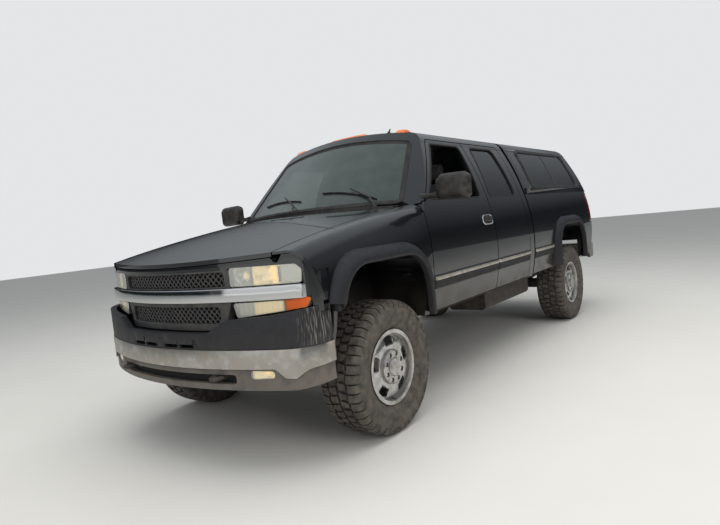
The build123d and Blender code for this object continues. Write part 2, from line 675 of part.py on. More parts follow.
# Bed
sill, waist, rail_top = (SILL_X, SILL_Z), (HALF_WIDTH, WAIST_Z), (BELT_X - 2, RAIL_Z)
bed_edges = [Line((0, SILL_Z), sill), ThreePointArc(sill, waist, rail_top), Line(rail_top, (0, RAIL_Z))]
bed_outer = front_prism(closed(bed_edges), BED_FRONT, BED_BACK)
bed = bed_outer - block(-FAR, FAR, BED_FRONT - 10, BED_BACK + 10, 0, BED_SKIRT_Z)
bed -= block(-BED_INNER_X, BED_INNER_X, BED_FRONT + 40, BED_BACK + 10, BED_FLOOR, FAR)
bed -= block(-945, 945, BED_FRONT - 10, BED_BACK + 10, 0, 865)
housing = side_prism(arch_face(REAR_AXLE, 10, BED_FLOOR - 30), 670, BED_INNER_X + 10)
arches = arch_cut(REAR_AXLE, 0, 680, 1200)
bed = bed + housing + mirror(housing, about=Plane.YZ) - arches - mirror(arches, about=Plane.YZ)
bed -= block(-BED_INNER_X, BED_INNER_X, 4496, BED_BACK + 10, BED_FLOOR, FAR)
LAMP = (872, 4500, 1060, 1398)
lamp_zone = block(LAMP[0], FAR, LAMP[1], FAR, LAMP[2], LAMP[3])
bed -= both(lamp_zone)
lamp = bed_outer & block(LAMP[0] + 0.3, FAR, LAMP[1] + 0.3, FAR, LAMP[2] + 0.3, LAMP[3] - 0.3)
save("tail_lamps", both(lamp))

GATE_HINGE_Y = BED_BACK - 12
GATE_HINGE_Z = 880.0
GATE_PIN_R = 8.0
for side in (-1, 1):
    x0, x1 = sorted((side * 754, side * (BED_INNER_X + 0.01)))
    bed -= block(x0, x1, GATE_HINGE_Y - 24, BED_BACK + 10, 800, BED_FLOOR + 1)
    bed -= cross_rod(side * 700, side * 810, GATE_HINGE_Y, GATE_HINGE_Z, GATE_PIN_R + 0.3)
save("bed", bed)
gate = block(-BED_INNER_X + PANEL_GAP, BED_INNER_X - PANEL_GAP, BED_BACK - TAILGATE_THICK, BED_BACK, 913, RAIL_Z - 8)
gate = fillet(gate.edges().filter_by(Axis.X).group_by(Axis.Y)[-1], 12)
for side in (-1, 1):
    x0, x1 = sorted((side * 762, side * (BED_INNER_X - PANEL_GAP)))
    gate += block(x0, x1, GATE_HINGE_Y - 12, BED_BACK, GATE_HINGE_Z - 12, 920)
    gate += cross_rod(side * 770, side * 808, GATE_HINGE_Y, GATE_HINGE_Z, GATE_PIN_R)
save("tailgate", gate)

# Canopy
canopy_side = outline([(CANOPY_FRONT, RAIL_Z + 0.3), (CANOPY_FRONT + 40, 2100), (CANOPY_TOP_BACK - 20, 2100),
                       (CANOPY_BACK, RAIL_Z + 0.3)])
canopy_block = side_prism(canopy_side, -FAR, FAR)
canopy_skin = front_prism(cab_section(0, 0, 0, SILL_Z, CANOPY_Z), 2500, 4700) & canopy_block
t = CANOPY_WALL
canopy_inner = front_prism(cab_section(t, t, t, SILL_Z, CANOPY_Z), CANOPY_FRONT + t, 4720)
canopy = canopy_skin - (canopy_inner & block(-FAR, FAR, 0, FAR, 1400, FAR))
side_window = outline([(2830, 1508), (2862, 1905), (4300, 1905), (4336, 1508)], 60)
canopy -= side_prism(side_window, -1200, 1200)
canopy -= front_prism(back_window, 2500, 2640)
HATCH_LEAN = math.atan2(CANOPY_BACK - CANOPY_TOP_BACK + 20, 2100 - RAIL_Z - 0.3)


def hatch_slab(depth0, depth1):
    """A slab parallel to the canopy's leaning back, between two depths from its face."""
    points = []
    for depth, order in ((depth0, 1), (depth1, -1)):
        run = [(CANOPY_BACK - depth - (z - RAIL_Z) * math.tan(HATCH_LEAN), z) for z in (1300, 2300)]
        points += run[::order]
    return side_prism(outline(points), -FAR, FAR)


HATCH_HINGE_Y = 4450.0
HATCH_HINGE_Z = 1995.0
HATCH_BARREL_R = 8.0
HATCH_TOP_GAP = 12.0
u = CANOPY_WALL + PANEL_GAP
hatch_zone = front_prism(cab_section(u, u, CANOPY_WALL + HATCH_TOP_GAP, SILL_Z, CANOPY_Z), 4000, 4720)
hatch = hatch_zone & hatch_slab(2, 26) & block(-FAR, FAR, 0, FAR, RAIL_Z + 10, FAR)
hatch_window = outline([(-690, 1520), (-560, 1900), (560, 1900), (690, 1520)], 60)
hatch -= front_prism(hatch_window, 4000, 4800)
for x in (-340, 280):
    hatch += cross_rod(x, x + 60, HATCH_HINGE_Y, HATCH_HINGE_Z, HATCH_BARREL_R)
save("hatch", hatch)
hatch_pane = front_prism(offset(hatch_window, amount=-GLASS_FIT), 4000, 4800) & hatch_slab(8, 14)
save("hatch_glass", hatch_pane)
save("canopy", canopy)
canopy_panes = []
rows = front_prism(cab_section(8, 8, 8, SILL_Z, CANOPY_Z), 2500, 4700)
rows -= front_prism(cab_section(14, 14, 14, SILL_Z, CANOPY_Z), 2500, 4700)
pane_face = offset(side_window, amount=-GLASS_FIT)
canopy_panes = (side_prism(pane_face, 500, 1200) & rows).solids()
canopy_panes = both(Compound(children=list(canopy_panes))).solids()
front_pane = front_prism(offset(back_window, amount=-GLASS_FIT), CANOPY_FRONT + 8, CANOPY_FRONT + 14)
canopy_panes = [*canopy_panes, *front_pane.solids()]
save("fixed_glass", [*glass.solids(), *back_pane.solids(), *canopy_panes])
print("cab and bed done")

# Front body
nose = nose_solid(0) & nose_plan(0, 0, FAR)
nose_core = nose_solid(FENDER_THICK)
hood_core = nose_solid(HOOD_THICK)
HOOD_FRONT_X = 835.0


def hood_region(gap, low, high):
    """The hood's outline in plan: its two sides and its curved rear edge."""
    front_x, back_x = HOOD_EDGE_FRONT - gap, HOOD_EDGE_BACK - gap
    face = outline([(-front_x, -1000), (front_x, -1000), (back_x, 560), (-back_x, 560)])
    return plan_prism(face, low, high) - behind_hood(-gap)


hood = (nose - hood_core) & hood_region(0, 1100, FAR)
hood = hood & nose_plan(2, 0, FAR)
save("hood", hood)

side_line = outline([(0, -1000), (HOOD_EDGE_FRONT + PANEL_GAP, -1000), (HOOD_EDGE_BACK + PANEL_GAP, 560), (0, 560)])
fender_zone = block(0, FAR, -1000, 552, 0, FAR) - plan_prism(side_line, 1130, FAR)
skin = (nose - nose_core) & fender_zone
skin = skin & block(0, FAR, -FAR, FAR, SILL_Z, FAR)
skin -= block(0, FAR, -FAR, BUMPER_BACK + 6, 0, 935)
liner = side_prism(arch_face(-20, 8, SILL_Z), 528, 990) - arch_cut(-20, 0, 534, 1200)
liner = liner & nose_solid(6)
skin = skin + liner - arch_cut(-20, 0, 534, 1200)
skin = skin - block(0, LAMP_OUT, -FAR, -760, 0, 1160)


# Grille, lamps and their carrier
GRILLE_LOW = 804.0
GRILLE_TOP = 1140.0
GRILLE_SIDE = 532.0
GRILLE_SIDE_LOW = 468.0
MESH = [
    # (low, high, half width) of the upper and the lower mesh
    (1048, 1128, 492), (842, 936, 440),
]
MESH_PITCH = 44.0
MESH_BAR = 7.0


def nose_band(face, inset0, inset1):
    """A front-view face cut from the nose's plan arc, between two depths."""
    band = nose_plan(inset0, 400, 1300) - nose_plan(inset1, 390, 1310)
    return front_prism(face, -1000, -500) & band


surround_face = outline([(-GRILLE_SIDE, GRILLE_TOP), (GRILLE_SIDE, GRILLE_TOP), (GRILLE_SIDE, 985),
                         (GRILLE_SIDE_LOW, GRILLE_LOW), (-GRILLE_SIDE_LOW, GRILLE_LOW), (-GRILLE_SIDE, 985)],
                        [14, 14, 60, 24, 24, 60])
grille = nose_band(surround_face, 2, 50)
for low, high, half in MESH:
    hole = front_prism(outline([(-half, low), (half, low), (half, high), (-half, high)], 16), -1000, -500)
    grille -= hole
    count = int(half / MESH_PITCH)
    bars = front_prism(Plane.XY * Pos(0, (low + high) / 2) * Rectangle(2 * half + 4, MESH_BAR), -1000, -500)
    for i in range(-count, count + 1):
        bars += block(i * MESH_PITCH - MESH_BAR / 2, i * MESH_PITCH + MESH_BAR / 2, -1000, -500, low - 2, high + 2)
    grille += bars & (nose_plan(22, 400, 1300) - nose_plan(34, 390, 1310))
BAR_HALF = 942.0
bar_face = outline([(-BAR_HALF, BAR_LOW), (BAR_HALF, BAR_LOW), (BAR_HALF, BAR_HIGH), (-BAR_HALF, BAR_HIGH)])
bar = nose_band(bar_face, -22, 12)
grille -= nose_band(outline([(-BAR_HALF - 1, BAR_LOW - 0.3), (BAR_HALF + 1, BAR_LOW - 0.3),
                             (BAR_HALF + 1, BAR_HIGH + 0.3), (-BAR_HALF - 1, BAR_HIGH + 0.3)]), -40, 12.3)
save("grille", grille)
save("grille_bar", bar)

headlamp_face = outline([(GRILLE_SIDE + 0.3, 1052), (GRILLE_SIDE + 0.3, 1140), (910, 1140), (936, 1110),
                         (928, 1052)], [10, 16, 20, 20, 14])
headlamp = nose_band(headlamp_face, 4, 90) & nose_solid(0.3)
low_lamp_face = outline([(GRILLE_SIDE + 24, 872), (GRILLE_SIDE + 4, 940), (832, 948), (832, 900)],
                        [14, 14, 0, 0])
low_lamp = nose_band(low_lamp_face, 4, 80)
amber_face = outline([(832.3, 900), (832.3, 948), (962, 964), (940, 912)], [0, 0, 12, 14])
amber = nose_band(amber_face, 4, 90)
for face in (headlamp_face, low_lamp_face, amber_face, bar_face):
    skin -= nose_band(offset(face, amount=GLASS_FIT, kind=Kind.INTERSECTION), -30, 92)
skin = skin.solids().sort_by(SortBy.VOLUME)[-1]
save("front_fenders", both(skin))
fog_face = outline([(648, 546), (648, 596), (786, 592), (786, 552)], 18)
fog = front_prism(fog_face, -1100, -400) & (bumper_plan(16, 500, 700) - bumper_plan(44, 490, 710))
save("front_lamps", both(headlamp.solids()[0] + low_lamp.solids()[0]).solids() + list(both(fog).solids()))

# A carrier behind the nose holds grille, lamps and hood latch.
carrier = nose_band(outline([(-838, 700), (838, 700), (838, 1136), (-838, 1136)]), 92, 110)
for x in (-600, 600):
    carrier += rod((x, -700, 1090), (x, -700, 1300), 12) & nose_solid(HOOD_THICK + 0.3)
save("radiator_support", carrier)

skin_side = both(amber)

ROOF_LAMPS = [
    # (x, width)
    (-550, 70), (0, 390), (550, 70),
]
roof_lamps = []
above_roof = front_prism(cab_section(-0.3, -0.3, -0.3, SILL_Z), 300, CAB_BACK)
for x, width in ROOF_LAMPS:
    lens = outline([(1005, 1970), (1020, 2055), (1050, 2072), (1100, 2060), (1130, 1970)], [0, 20, 30, 20, 0])
    lens = side_prism(lens, x - width / 2, x + width / 2) - above_roof
    roof_lamps += list(lens.solids())
save("amber_lamps", [*skin_side.solids(), *roof_lamps])

# Front bumper
cap_face = outline([(-1010, 709), (-1010, 918), (-770, 884), (-530, 872), (-400, 802), (400, 802), (530, 872),
                    (770, 884), (1010, 918), (1010, 709)], [0, 0, 60, 50, 50, 50, 50, 60, 0, 0])
bumper_ring = bumper_plan(4, 300, 1100) - bumper_plan(BUMPER_WALL, 290, 1110)
cap = front_prism(cap_face, -1100, -400) & bumper_ring
for x in (-236, -100, 100, 236):
    slot = Plane.XY * Pos(x, 728) * SlotOverall(118, 20)
    cap -= front_prism(slot, -1100, -700)
chrome_face = outline([(-1010, 708.7), (1010, 708.7), (1010, 604), (950, 592), (905, 552), (852, 556), (800, 606),
                       (-800, 606), (-852, 556), (-905, 552), (-950, 592), (-1010, 604)],
                      [0, 0, 0, 30, 18, 18, 30, 30, 18, 18, 30, 0])
bumper_front = bumper_plan(0, 300, 1100) - bumper_plan(BUMPER_WALL, 290, 1110)
chrome = front_prism(chrome_face, -1100, -400) & bumper_front
valance_face = outline([(-1010, 500), (-1010, 603.7), (1010, 603.7), (1010, 500), (900, 488), (-900, 488)],
                       [0, 0, 0, 0, 60, 60])
valance = front_prism(valance_face, -1100, -400) & (bumper_plan(12, 300, 1100) - bumper_plan(BUMPER_WALL, 290, 1110))
valance -= front_prism(offset(chrome_face, amount=0.3), -1100, -400)
mouth = front_prism(outline([(-560, 521), (560, 521), (560, 573), (-560, 573)], 18), -1100, -700)
valance -= mouth
fog_cut = front_prism(offset(fog_face, amount=0.3), -1100, -700)
valance = valance - fog_cut - mirror(fog_cut, about=Plane.YZ)
save("bumper_cap", cap)
save("bumper_chrome", chrome)
save("bumper_valance", valance)

# Wheel flares
FLARE_LIP = 26.0


def flare(centre, low):
    """A left wheel flare: a broad band round the opening that stands off the body side."""
    band = side_prism(arch_face(centre, FLARE_BAND, low), 900, FLARE_X) - arch_cut(centre, -FLARE_LIP, 800, 1200)
    return band


bed_shape = front_prism(closed(bed_edges), 2400, 4700)
rear_flare = flare(REAR_AXLE, 660) - front_prism(closed([Line((0, SILL_Z - 300), (SILL_X + 0.3, SILL_Z - 300)),
                                                       Line((SILL_X + 0.3, SILL_Z - 300), (SILL_X + 0.3, SILL_Z)),
                                                       ThreePointArc((SILL_X + 0.3, SILL_Z), (HALF_WIDTH + 0.3, WAIST_Z),
                                                                     (BELT_X - 1.7, RAIL_Z)),
                                                       Line((BELT_X - 1.7, RAIL_Z), (0, RAIL_Z))]), 2400, 4700)
front_flare = flare(-20, 660) - nose_solid(-0.3)
front_flare = front_flare & block(900, 1200, -588, 551, 0, 2000)
front_flare -= bumper_plan(-6, 300, 1100, back=BUMPER_BACK + 4)
front_flare = front_flare - block(900, SILL_X, -600, 600, 0, SILL_Z)
save("wheel_flares", both(Compound(children=[*front_flare.solids(), *rear_flare.solids()])))

# Mirrors
head = block(1030, 1290, 596, 680, 1418, 1604)
head = fillet(head.edges().filter_by(Axis.Y), 44)
head = fillet(head.faces().sort_by(Axis.Y)[0].edges(), 26)
foot = outline([(620, 1442), (700, 1442), (700, 1470), (672, 1472), (640, 1462)], [0, 0, 10, 10, 8])
stem = side_prism(outline([(626, 1446), (690, 1446), (690, 1476), (640, 1476)], 10), 905, 1040)
mirror_shape = head + stem
mirror_shape -= front_prism(cab_section(-0.3, -0.3, -0.3, SILL_Z), 400, 900)
mirror_shape = mirror_shape.solids().sort_by(SortBy.VOLUME)[-1]
save("mirror_left", mirror_shape)
save("mirror_right", mirror(mirror_shape, about=Plane.YZ))

# Rear bumper and hitch
BUMPER_REAR_Y = WHEELBASE + REAR_OVERHANG
rear = [(4592, 600), (4592, 782), (BUMPER_REAR_Y - 12, 782), (BUMPER_REAR_Y, 760), (BUMPER_REAR_Y, 620),
        (BUMPER_REAR_Y - 40, 600)]
rear_bumper = side_prism(outline(rear, [0, 0, 10, 20, 24, 20]), -950, 950)
rear_bumper -= block(-920, 920, 4560, BUMPER_REAR_Y - 40, 500, 766)
rear_bumper += block(-430, -360, 4560.3, 4740, 650, 770) + block(360, 430, 4560.3, 4740, 650, 770)
save("rear_bumper", rear_bumper)

RECEIVER = 64.0
RECEIVER_BORE = 51.0
RECEIVER_Z = 545.0
PIN_BORE_R = 8.0
receiver = block(-RECEIVER / 2, RECEIVER / 2, 4420, 4740, RECEIVER_Z - RECEIVER / 2, RECEIVER_Z + RECEIVER / 2)
receiver += cross_rod(-400, 400, 4530, RECEIVER_Z, 30)
for x in (-395, 395):
    receiver += block(x - 10, x + 10, 4480, 4559, RECEIVER_Z - 30, 639.7)
receiver -= block(-RECEIVER_BORE / 2, RECEIVER_BORE / 2, 4430, 4800, RECEIVER_Z - RECEIVER_BORE / 2,
                  RECEIVER_Z + RECEIVER_BORE / 2)
receiver -= cross_rod(-60, 60, 4675, RECEIVER_Z, PIN_BORE_R)
save("hitch_receiver", receiver)
print("all done")
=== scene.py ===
import json
import math
import bmesh
import bpy
from mathutils import Matrix, Vector


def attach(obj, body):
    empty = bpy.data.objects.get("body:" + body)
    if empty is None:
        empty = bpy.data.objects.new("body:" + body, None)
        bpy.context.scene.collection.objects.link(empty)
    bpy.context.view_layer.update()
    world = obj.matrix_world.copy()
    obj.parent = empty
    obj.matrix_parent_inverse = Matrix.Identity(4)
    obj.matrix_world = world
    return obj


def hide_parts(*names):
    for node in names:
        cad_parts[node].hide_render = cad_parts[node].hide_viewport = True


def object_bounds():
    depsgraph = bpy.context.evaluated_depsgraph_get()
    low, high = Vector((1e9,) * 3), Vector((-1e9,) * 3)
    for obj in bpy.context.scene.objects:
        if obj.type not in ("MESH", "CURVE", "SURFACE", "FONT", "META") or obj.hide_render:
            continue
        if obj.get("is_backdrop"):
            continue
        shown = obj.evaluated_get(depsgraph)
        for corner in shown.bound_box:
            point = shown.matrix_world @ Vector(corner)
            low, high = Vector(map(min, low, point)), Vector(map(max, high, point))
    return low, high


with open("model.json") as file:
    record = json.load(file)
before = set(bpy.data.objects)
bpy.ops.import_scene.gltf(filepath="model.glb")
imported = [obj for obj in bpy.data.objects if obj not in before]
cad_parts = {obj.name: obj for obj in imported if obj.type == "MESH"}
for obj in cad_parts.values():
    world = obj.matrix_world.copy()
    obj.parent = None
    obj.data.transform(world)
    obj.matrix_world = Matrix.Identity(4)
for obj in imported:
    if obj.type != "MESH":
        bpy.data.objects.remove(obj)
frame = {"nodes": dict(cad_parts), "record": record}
cad_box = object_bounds()

# Lifted extended-cab pickup with a canopy. Metres; +X is the truck's left, -Y its nose, +Z up.
NODES = frame["nodes"]
MIDDLE = 1.9025
WHEELBASE = 3.645
HALF_TRACK = 0.862
TYRE_R = 0.416
WAVE_TURN = 6.283  # a wave texture puts its stripes one turn apart
FRONT_AXLE_Y = -MIDDLE
REAR_AXLE_Y = WHEELBASE - MIDDLE


# Materials

def linear(code, alpha=1.0):
    """A hex sRGB colour as the linear values that a shader takes."""
    parts = [int(code[i:i + 2], 16) / 255 for i in (1, 3, 5)]
    return [c / 12.92 if c <= 0.04045 else ((c + 0.055) / 1.055) ** 2.4 for c in parts] + [alpha]


def add(tree, kind, settings=None, links=None):
    """Adds a node; settings name its sockets or properties, and links feed its inputs."""
    node = tree.nodes.new("ShaderNode" + kind)
    for key, value in (settings or {}).items():
        if isinstance(key, int) or key in node.inputs:
            node.inputs[key].default_value = value
        else:
            setattr(node, key, value)
    for key, source in (links or {}).items():
        tree.links.new(source, node.inputs[key])
    return node


def material(name, **values):
    """A new material with its Principled shader set from socket values."""
    mat = bpy.data.materials.new(name)
    mat.use_nodes = True
    tree = mat.node_tree
    shader = tree.nodes["Principled BSDF"]
    for key, value in values.items():
        shader.inputs[key.replace("_", " ")].default_value = value
    return mat, tree, shader


def position(tree):
    """Place on the piece, in metres of the frame."""
    return add(tree, "TexCoord").outputs["Object"]


def noise(tree, size_mm, detail=3.0, where=None):
    """Noise whose blotches are about size_mm across."""
    node = add(tree, "TexNoise", {"Scale": 1000 / size_mm, "Detail": detail, "Roughness": 0.6})
    tree.links.new(where or position(tree), node.inputs["Vector"])
    return node.outputs["Fac"]


def ramp(tree, source, low, high, a=0.0, b=1.0):
    """Source, from low to high, stretched to run from a to b."""
    ends = {"From Min": low, "From Max": high, "To Min": a, "To Max": b}
    return add(tree, "MapRange", ends, {"Value": source}).outputs["Result"]


def mix(tree, factor, a, b):
    """A colour between two hex colours or sockets."""
    node = add(tree, "Mix", {"data_type": "RGBA"}, {"Factor": factor})
    for socket, value in (("A", a), ("B", b)):
        target = [s for s in node.inputs if s.name == socket and s.type == "RGBA"][0]
        if isinstance(value, str):
            target.default_value = linear(value)
        else:
            tree.links.new(value, target)
    return [s for s in node.outputs if s.type == "RGBA"][0]


def bump(tree, shader, height, distance_mm, strength=1.0):
    node = add(tree, "Bump", {"Strength": strength, "Distance": distance_mm / 1000}, {"Height": height})
    tree.links.new(node.outputs["Normal"], shader.inputs["Normal"])
    return node


def dust_mask(tree, full_z, clear_z, patch_mm=160):
    """1 where road dust lies: low on the truck, in patches and streaks, fading out upwards."""
    where = position(tree)
    height = add(tree, "SeparateXYZ", None, {"Vector": where}).outputs["Z"]
    fade = ramp(tree, height, full_z, clear_z, 1.0, 0.0)
    patches = ramp(tree, noise(tree, patch_mm, 5.0, where), 0.32, 0.68)
    both = add(tree, "Math", {"operation": "MULTIPLY"}, {0: fade, 1: patches}).outputs[0]
    total = add(tree, "Math", {"operation": "MULTIPLY_ADD", 1: 0.55}, {0: fade, 2: both}).outputs[0]
    return add(tree, "Clamp", None, {"Value": total}).outputs[0]


def stripes(tree, spacing_mm, axis="X"):
    """Soft stripes across one axis, spacing_mm apart."""
    settings = {"Scale": 1000 / spacing_mm / WAVE_TURN, "bands_direction": axis}
    return add(tree, "TexWave", settings, {"Vector": position(tree)}).outputs["Fac"]


def dusty(tree, shader, colour, dust, mask, rough, dust_rough=0.85):
    """Lays dust of one colour over a base colour and roughness."""
    tree.links.new(mix(tree, mask, colour, dust), shader.inputs["Base Color"])
    tree.links.new(ramp(tree, mask, 0.0, 1.0, rough, dust_rough), shader.inputs["Roughness"])


def clearcoat_black_paint():
    # Two-stage baked enamel: a dark blue-black base under clear lacquer that mirrors the sky, dusty low down.
    mat, tree, shader = material("clearcoat_black_paint", Metallic=0.15, Coat_Roughness=0.035, Coat_IOR=1.5)
    mask = dust_mask(tree, 0.5, 0.95)
    dusty(tree, shader, "#05070a", "#5d554b", ramp(tree, mask, 0.0, 1.0, 0.0, 0.42), 0.3)
    tree.links.new(ramp(tree, mask, 0.0, 1.0, 1.0, 0.1), shader.inputs["Coat Weight"])
    ripple = add(tree, "TexNoise", {"Scale": 90.0, "Detail": 1.0}, {"Vector": position(tree)}).outputs["Fac"]
    bump(tree, shader, ripple, 0.05, 0.08)
    return mat


def moulded_grey_trim(name="moulded_grey_trim", colour="#1c1c1f", dust="#5f584f", full_z=0.35, clear_z=0.95):
    # Injection-moulded polypropylene with a fine leather-like grain, sun-faded to a dull dark grey.
    mat, tree, shader = material(name, IOR=1.48)
    mask = dust_mask(tree, full_z, clear_z, 90)
    tint = mix(tree, noise(tree, 60), colour, "#232327")
    tree.links.new(mix(tree, ramp(tree, mask, 0, 1, 0, 0.55), tint, dust), shader.inputs["Base Color"])
    tree.links.new(ramp(tree, noise(tree, 35), 0.3, 0.7, 0.5, 0.66), shader.inputs["Roughness"])
    grain = add(tree, "TexVoronoi", {"Scale": 1000 / 1.6}, {"Vector": position(tree)}).outputs["Distance"]
    bump(tree, shader, grain, 0.12, 0.35)
    return mat


def chrome_plate(name="chrome_plate", dust_low=0.2, dust_high=0.75, amount=0.7):
    # Bright nickel-chrome over pressed steel; dust film scatters the lower part.
    mat, tree, shader = material(name, Metallic=1.0)
    mask = dust_mask(tree, dust_low, dust_high, 70)
    film = ramp(tree, mask, 0, 1, 0, amount)
    dusty(tree, shader, "#c9cbcc", "#a0968a", film, 0.09, 0.55)
    bump(tree, shader, noise(tree, 140), 0.3, 0.12)
    return mat


def polished_cast_alloy():
    # Machined and polished cast aluminium, filmed with brown brake and road dust in patches, and with painted
    # shade: the same darker brown film laid into its hollows.
    mat, tree, shader = material("polished_cast_alloy", Metallic=0.92)
    patches = ramp(tree, noise(tree, 55, 6), 0.34, 0.68)
    open_sky = add(tree, "AmbientOcclusion", {"Distance": 0.05, "samples": 8}).outputs["AO"]
    # Painted shade: where ambient occlusion finds a hollow, the darker brown film is laid on.
    hollow_shade = ramp(tree, open_sky, 0.45, 0.95, 1.0, 0.0)
    both = add(tree, "Math", {"operation": "MAXIMUM"}, {0: patches, 1: hollow_shade}).outputs[0]
    film = ramp(tree, both, 0, 1, 0.12, 0.72)
    dusty(tree, shader, "#cfd0d0", "#8b8074", film, 0.16, 0.62)
    bump(tree, shader, noise(tree, 3.0), 0.05, 0.15)
    return mat


def dust_and_groove_shade_rubber():
    # Carbon-black tyre rubber under dry trail dust: grey-brown patches on the open tread faces, while painted
    # shade keeps the grooves darker.
    mat, tree, shader = material("dust_and_groove_shade_rubber", IOR=1.5)
    patches = ramp(tree, noise(tree, 45, 6), 0.3, 0.72)
    open_sky = add(tree, "AmbientOcclusion", {"Distance": 0.02, "samples": 8}).outputs["AO"]
    # Painted shade: ambient occlusion keeps the dust out of the grooves, so they stay darker.
    unshaded_open_faces = ramp(tree, open_sky, 0.35, 0.95)
    both = add(tree, "Math", {"operation": "MULTIPLY"}, {0: patches, 1: unshaded_open_faces}).outputs[0]
    dusty(tree, shader, "#1d1c1c", "#6b635a", ramp(tree, both, 0, 1, 0.12, 0.85), 0.62, 0.9)
    bump(tree, shader, noise(tree, 2.5), 0.3, 0.4)
    return mat


def chassis_black(name="chassis_black_enamel", colour="#1b1a1a"):
    # Brushed-on black chassis enamel with dust baked over it.
    mat, tree, shader = material(name, Metallic=0.1)
    mask = ramp(tree, noise(tree, 80, 5), 0.35, 0.7, 0.1, 0.7)
    dusty(tree, shader, colour, "#5d554c", mask, 0.55, 0.9)
    bump(tree, shader, noise(tree, 6), 0.4, 0.3)
    return mat


def lamp_lens(name, colour, deep, flute_mm=6.0):
    # Moulded polycarbonate lens over a bright reflector, with fine vertical flutes.
    mat, tree, shader = material(name, Roughness=0.12, Coat_Weight=1.0, Coat_Roughness=0.02, Metallic=0.25)
    cloudy = ramp(tree, noise(tree, 60), 0.3, 0.7)
    tree.links.new(mix(tree, cloudy, colour, deep), shader.inputs["Base Color"])
    bump(tree, shader, stripes(tree, flute_mm), 0.6, 0.25)
    return mat


def seat_cloth():
    # Woven polyester seat cloth: a grey yarn twill about 1.5 mm across, drawn coarser so that it shows.
    mat, tree, shader = material("woven_seat_cloth", Roughness=0.9, Sheen_Weight=0.3)
    across, along = stripes(tree, 5.0, "X"), stripes(tree, 5.0, "Z")
    weave = add(tree, "Math", {"operation": "MULTIPLY"}, {0: across, 1: along}).outputs[0]
    tree.links.new(mix(tree, ramp(tree, weave, 0, 1), "#3a3a3d", "#57565a"), shader.inputs["Base Color"])
    bump(tree, shader, weave, 0.5, 0.5)
    return mat


def clear_glass(name, tint, base, least, most):
    # Glass or clear plastic: it mirrors the sky, more so at a slant, and shows a tinted view through it.
    mat, tree, shader = material(name, Roughness=0.02, IOR=1.5, Coat_Weight=1.0, Coat_Roughness=0.01)
    film = ramp(tree, noise(tree, 150, 4), 0.4, 0.75, 0.0, 0.1)
    tree.links.new(mix(tree, film, base, tint), shader.inputs["Base Color"])
    through = add(tree, "BsdfTransparent", {"Color": linear(tint)}).outputs[0]
    facing = add(tree, "LayerWeight", {"Blend": 0.35}).outputs["Facing"]
    mirrored = ramp(tree, facing, 0.0, 1.0, least, most)
    surface = add(tree, "MixShader", None, {0: mirrored, 1: through, 2: shader.outputs[0]}).outputs[0]
    tree.links.new(surface, tree.nodes["Material Output"].inputs["Surface"])
    return mat


def simple(name, colour, dust, rough, metal=0.0, amount=0.5, grain_mm=4.0, coat=0.0):
    # Small fittings: one finish, with dust in patches and a fine surface grain.
    mat, tree, shader = material(name, Metallic=metal, Coat_Weight=coat)
    mask = ramp(tree, noise(tree, 50, 5), 0.35, 0.7, 0.0, amount)
    dusty(tree, shader, colour, dust, mask, rough, min(0.95, rough + 0.35))
    bump(tree, shader, noise(tree, grain_mm), 0.08, 0.25)
    return mat


def fluted_reflector():
    # Vacuum-plated lamp reflector: grey mirror, with a warm glowing band that is a painted reflection of the
    # bulb.
    mat, tree, shader = material("fluted_lamp_reflector", Metallic=0.85, Roughness=0.16)
    x = add(tree, "SeparateXYZ", None, {"Vector": position(tree)}).outputs["X"]
    width = add(tree, "Math", {"operation": "ABSOLUTE"}, {0: x}).outputs[0]
    inner = ramp(tree, width, 0.652, 0.660)
    outer = ramp(tree, width, 0.806, 0.816)
    middle = mix(tree, inner, "#c9cbcc", "#f0e0b4")
    tree.links.new(mix(tree, outer, middle, "#c6c7c4"), shader.inputs["Base Color"])
    # Painted reflection: the band between the lamp's walls is warm and emits light, standing in for the bulb
    # thrown back.
    glow = add(tree, "Math", {"operation": "SUBTRACT"}, {0: inner, 1: outer}).outputs[0]
    shader.inputs["Emission Color"].default_value = linear("#ffdca0")
    tree.links.new(ramp(tree, glow, 0.0, 1.0, 0.06, 0.42), shader.inputs["Emission Strength"])
    bump(tree, shader, stripes(tree, 9.0), 0.8, 0.4)
    return mat


def warm_bulb():
    # Frosted bulb and its shield: a warm white glow behind the lens.
    mat, tree, shader = material("warm_lamp_bulb", Roughness=0.3)
    cloudy = ramp(tree, noise(tree, 30), 0.3, 0.7)
    tree.links.new(mix(tree, cloudy, "#fbe6b8", "#fff5dc"), shader.inputs["Base Color"])
    shader.inputs["Emission Color"].default_value = linear("#ffdfa6")
    shader.inputs["Emission Strength"].default_value = 0.6
    return mat


def scuffed_cap_plastic():
    # Moulded polypropylene rubbed at its left corner: pale upright streaks on dull black.
    mat = moulded_grey_trim("bumper_cap_plastic", "#161618", "#4b463f", 0.2, 0.8)
    tree = mat.node_tree
    colour = next(n for n in tree.nodes if n.type == "BSDF_PRINCIPLED").inputs["Base Color"]
    plain = colour.links[0].from_socket
    stretched = add(tree, "Mapping", {"Scale": (190, 190, 14)}, {"Vector": position(tree)}).outputs[0]
    streaks = add(tree, "TexNoise", {"Scale": 1.0, "Detail": 4}, {"Vector": stretched}).outputs[0]
    x = add(tree, "SeparateXYZ", None, {"Vector": position(tree)}).outputs["X"]
    corner = ramp(tree, x, 0.905, 0.98)
    pale = ramp(tree, streaks, 0.5, 0.68, 0.0, 0.75)
    share = add(tree, "Math", {"operation": "MULTIPLY"}, {0: pale, 1: corner}).outputs[0]
    tree.links.new(mix(tree, share, plain, "#8c877e"), colour)
    return mat


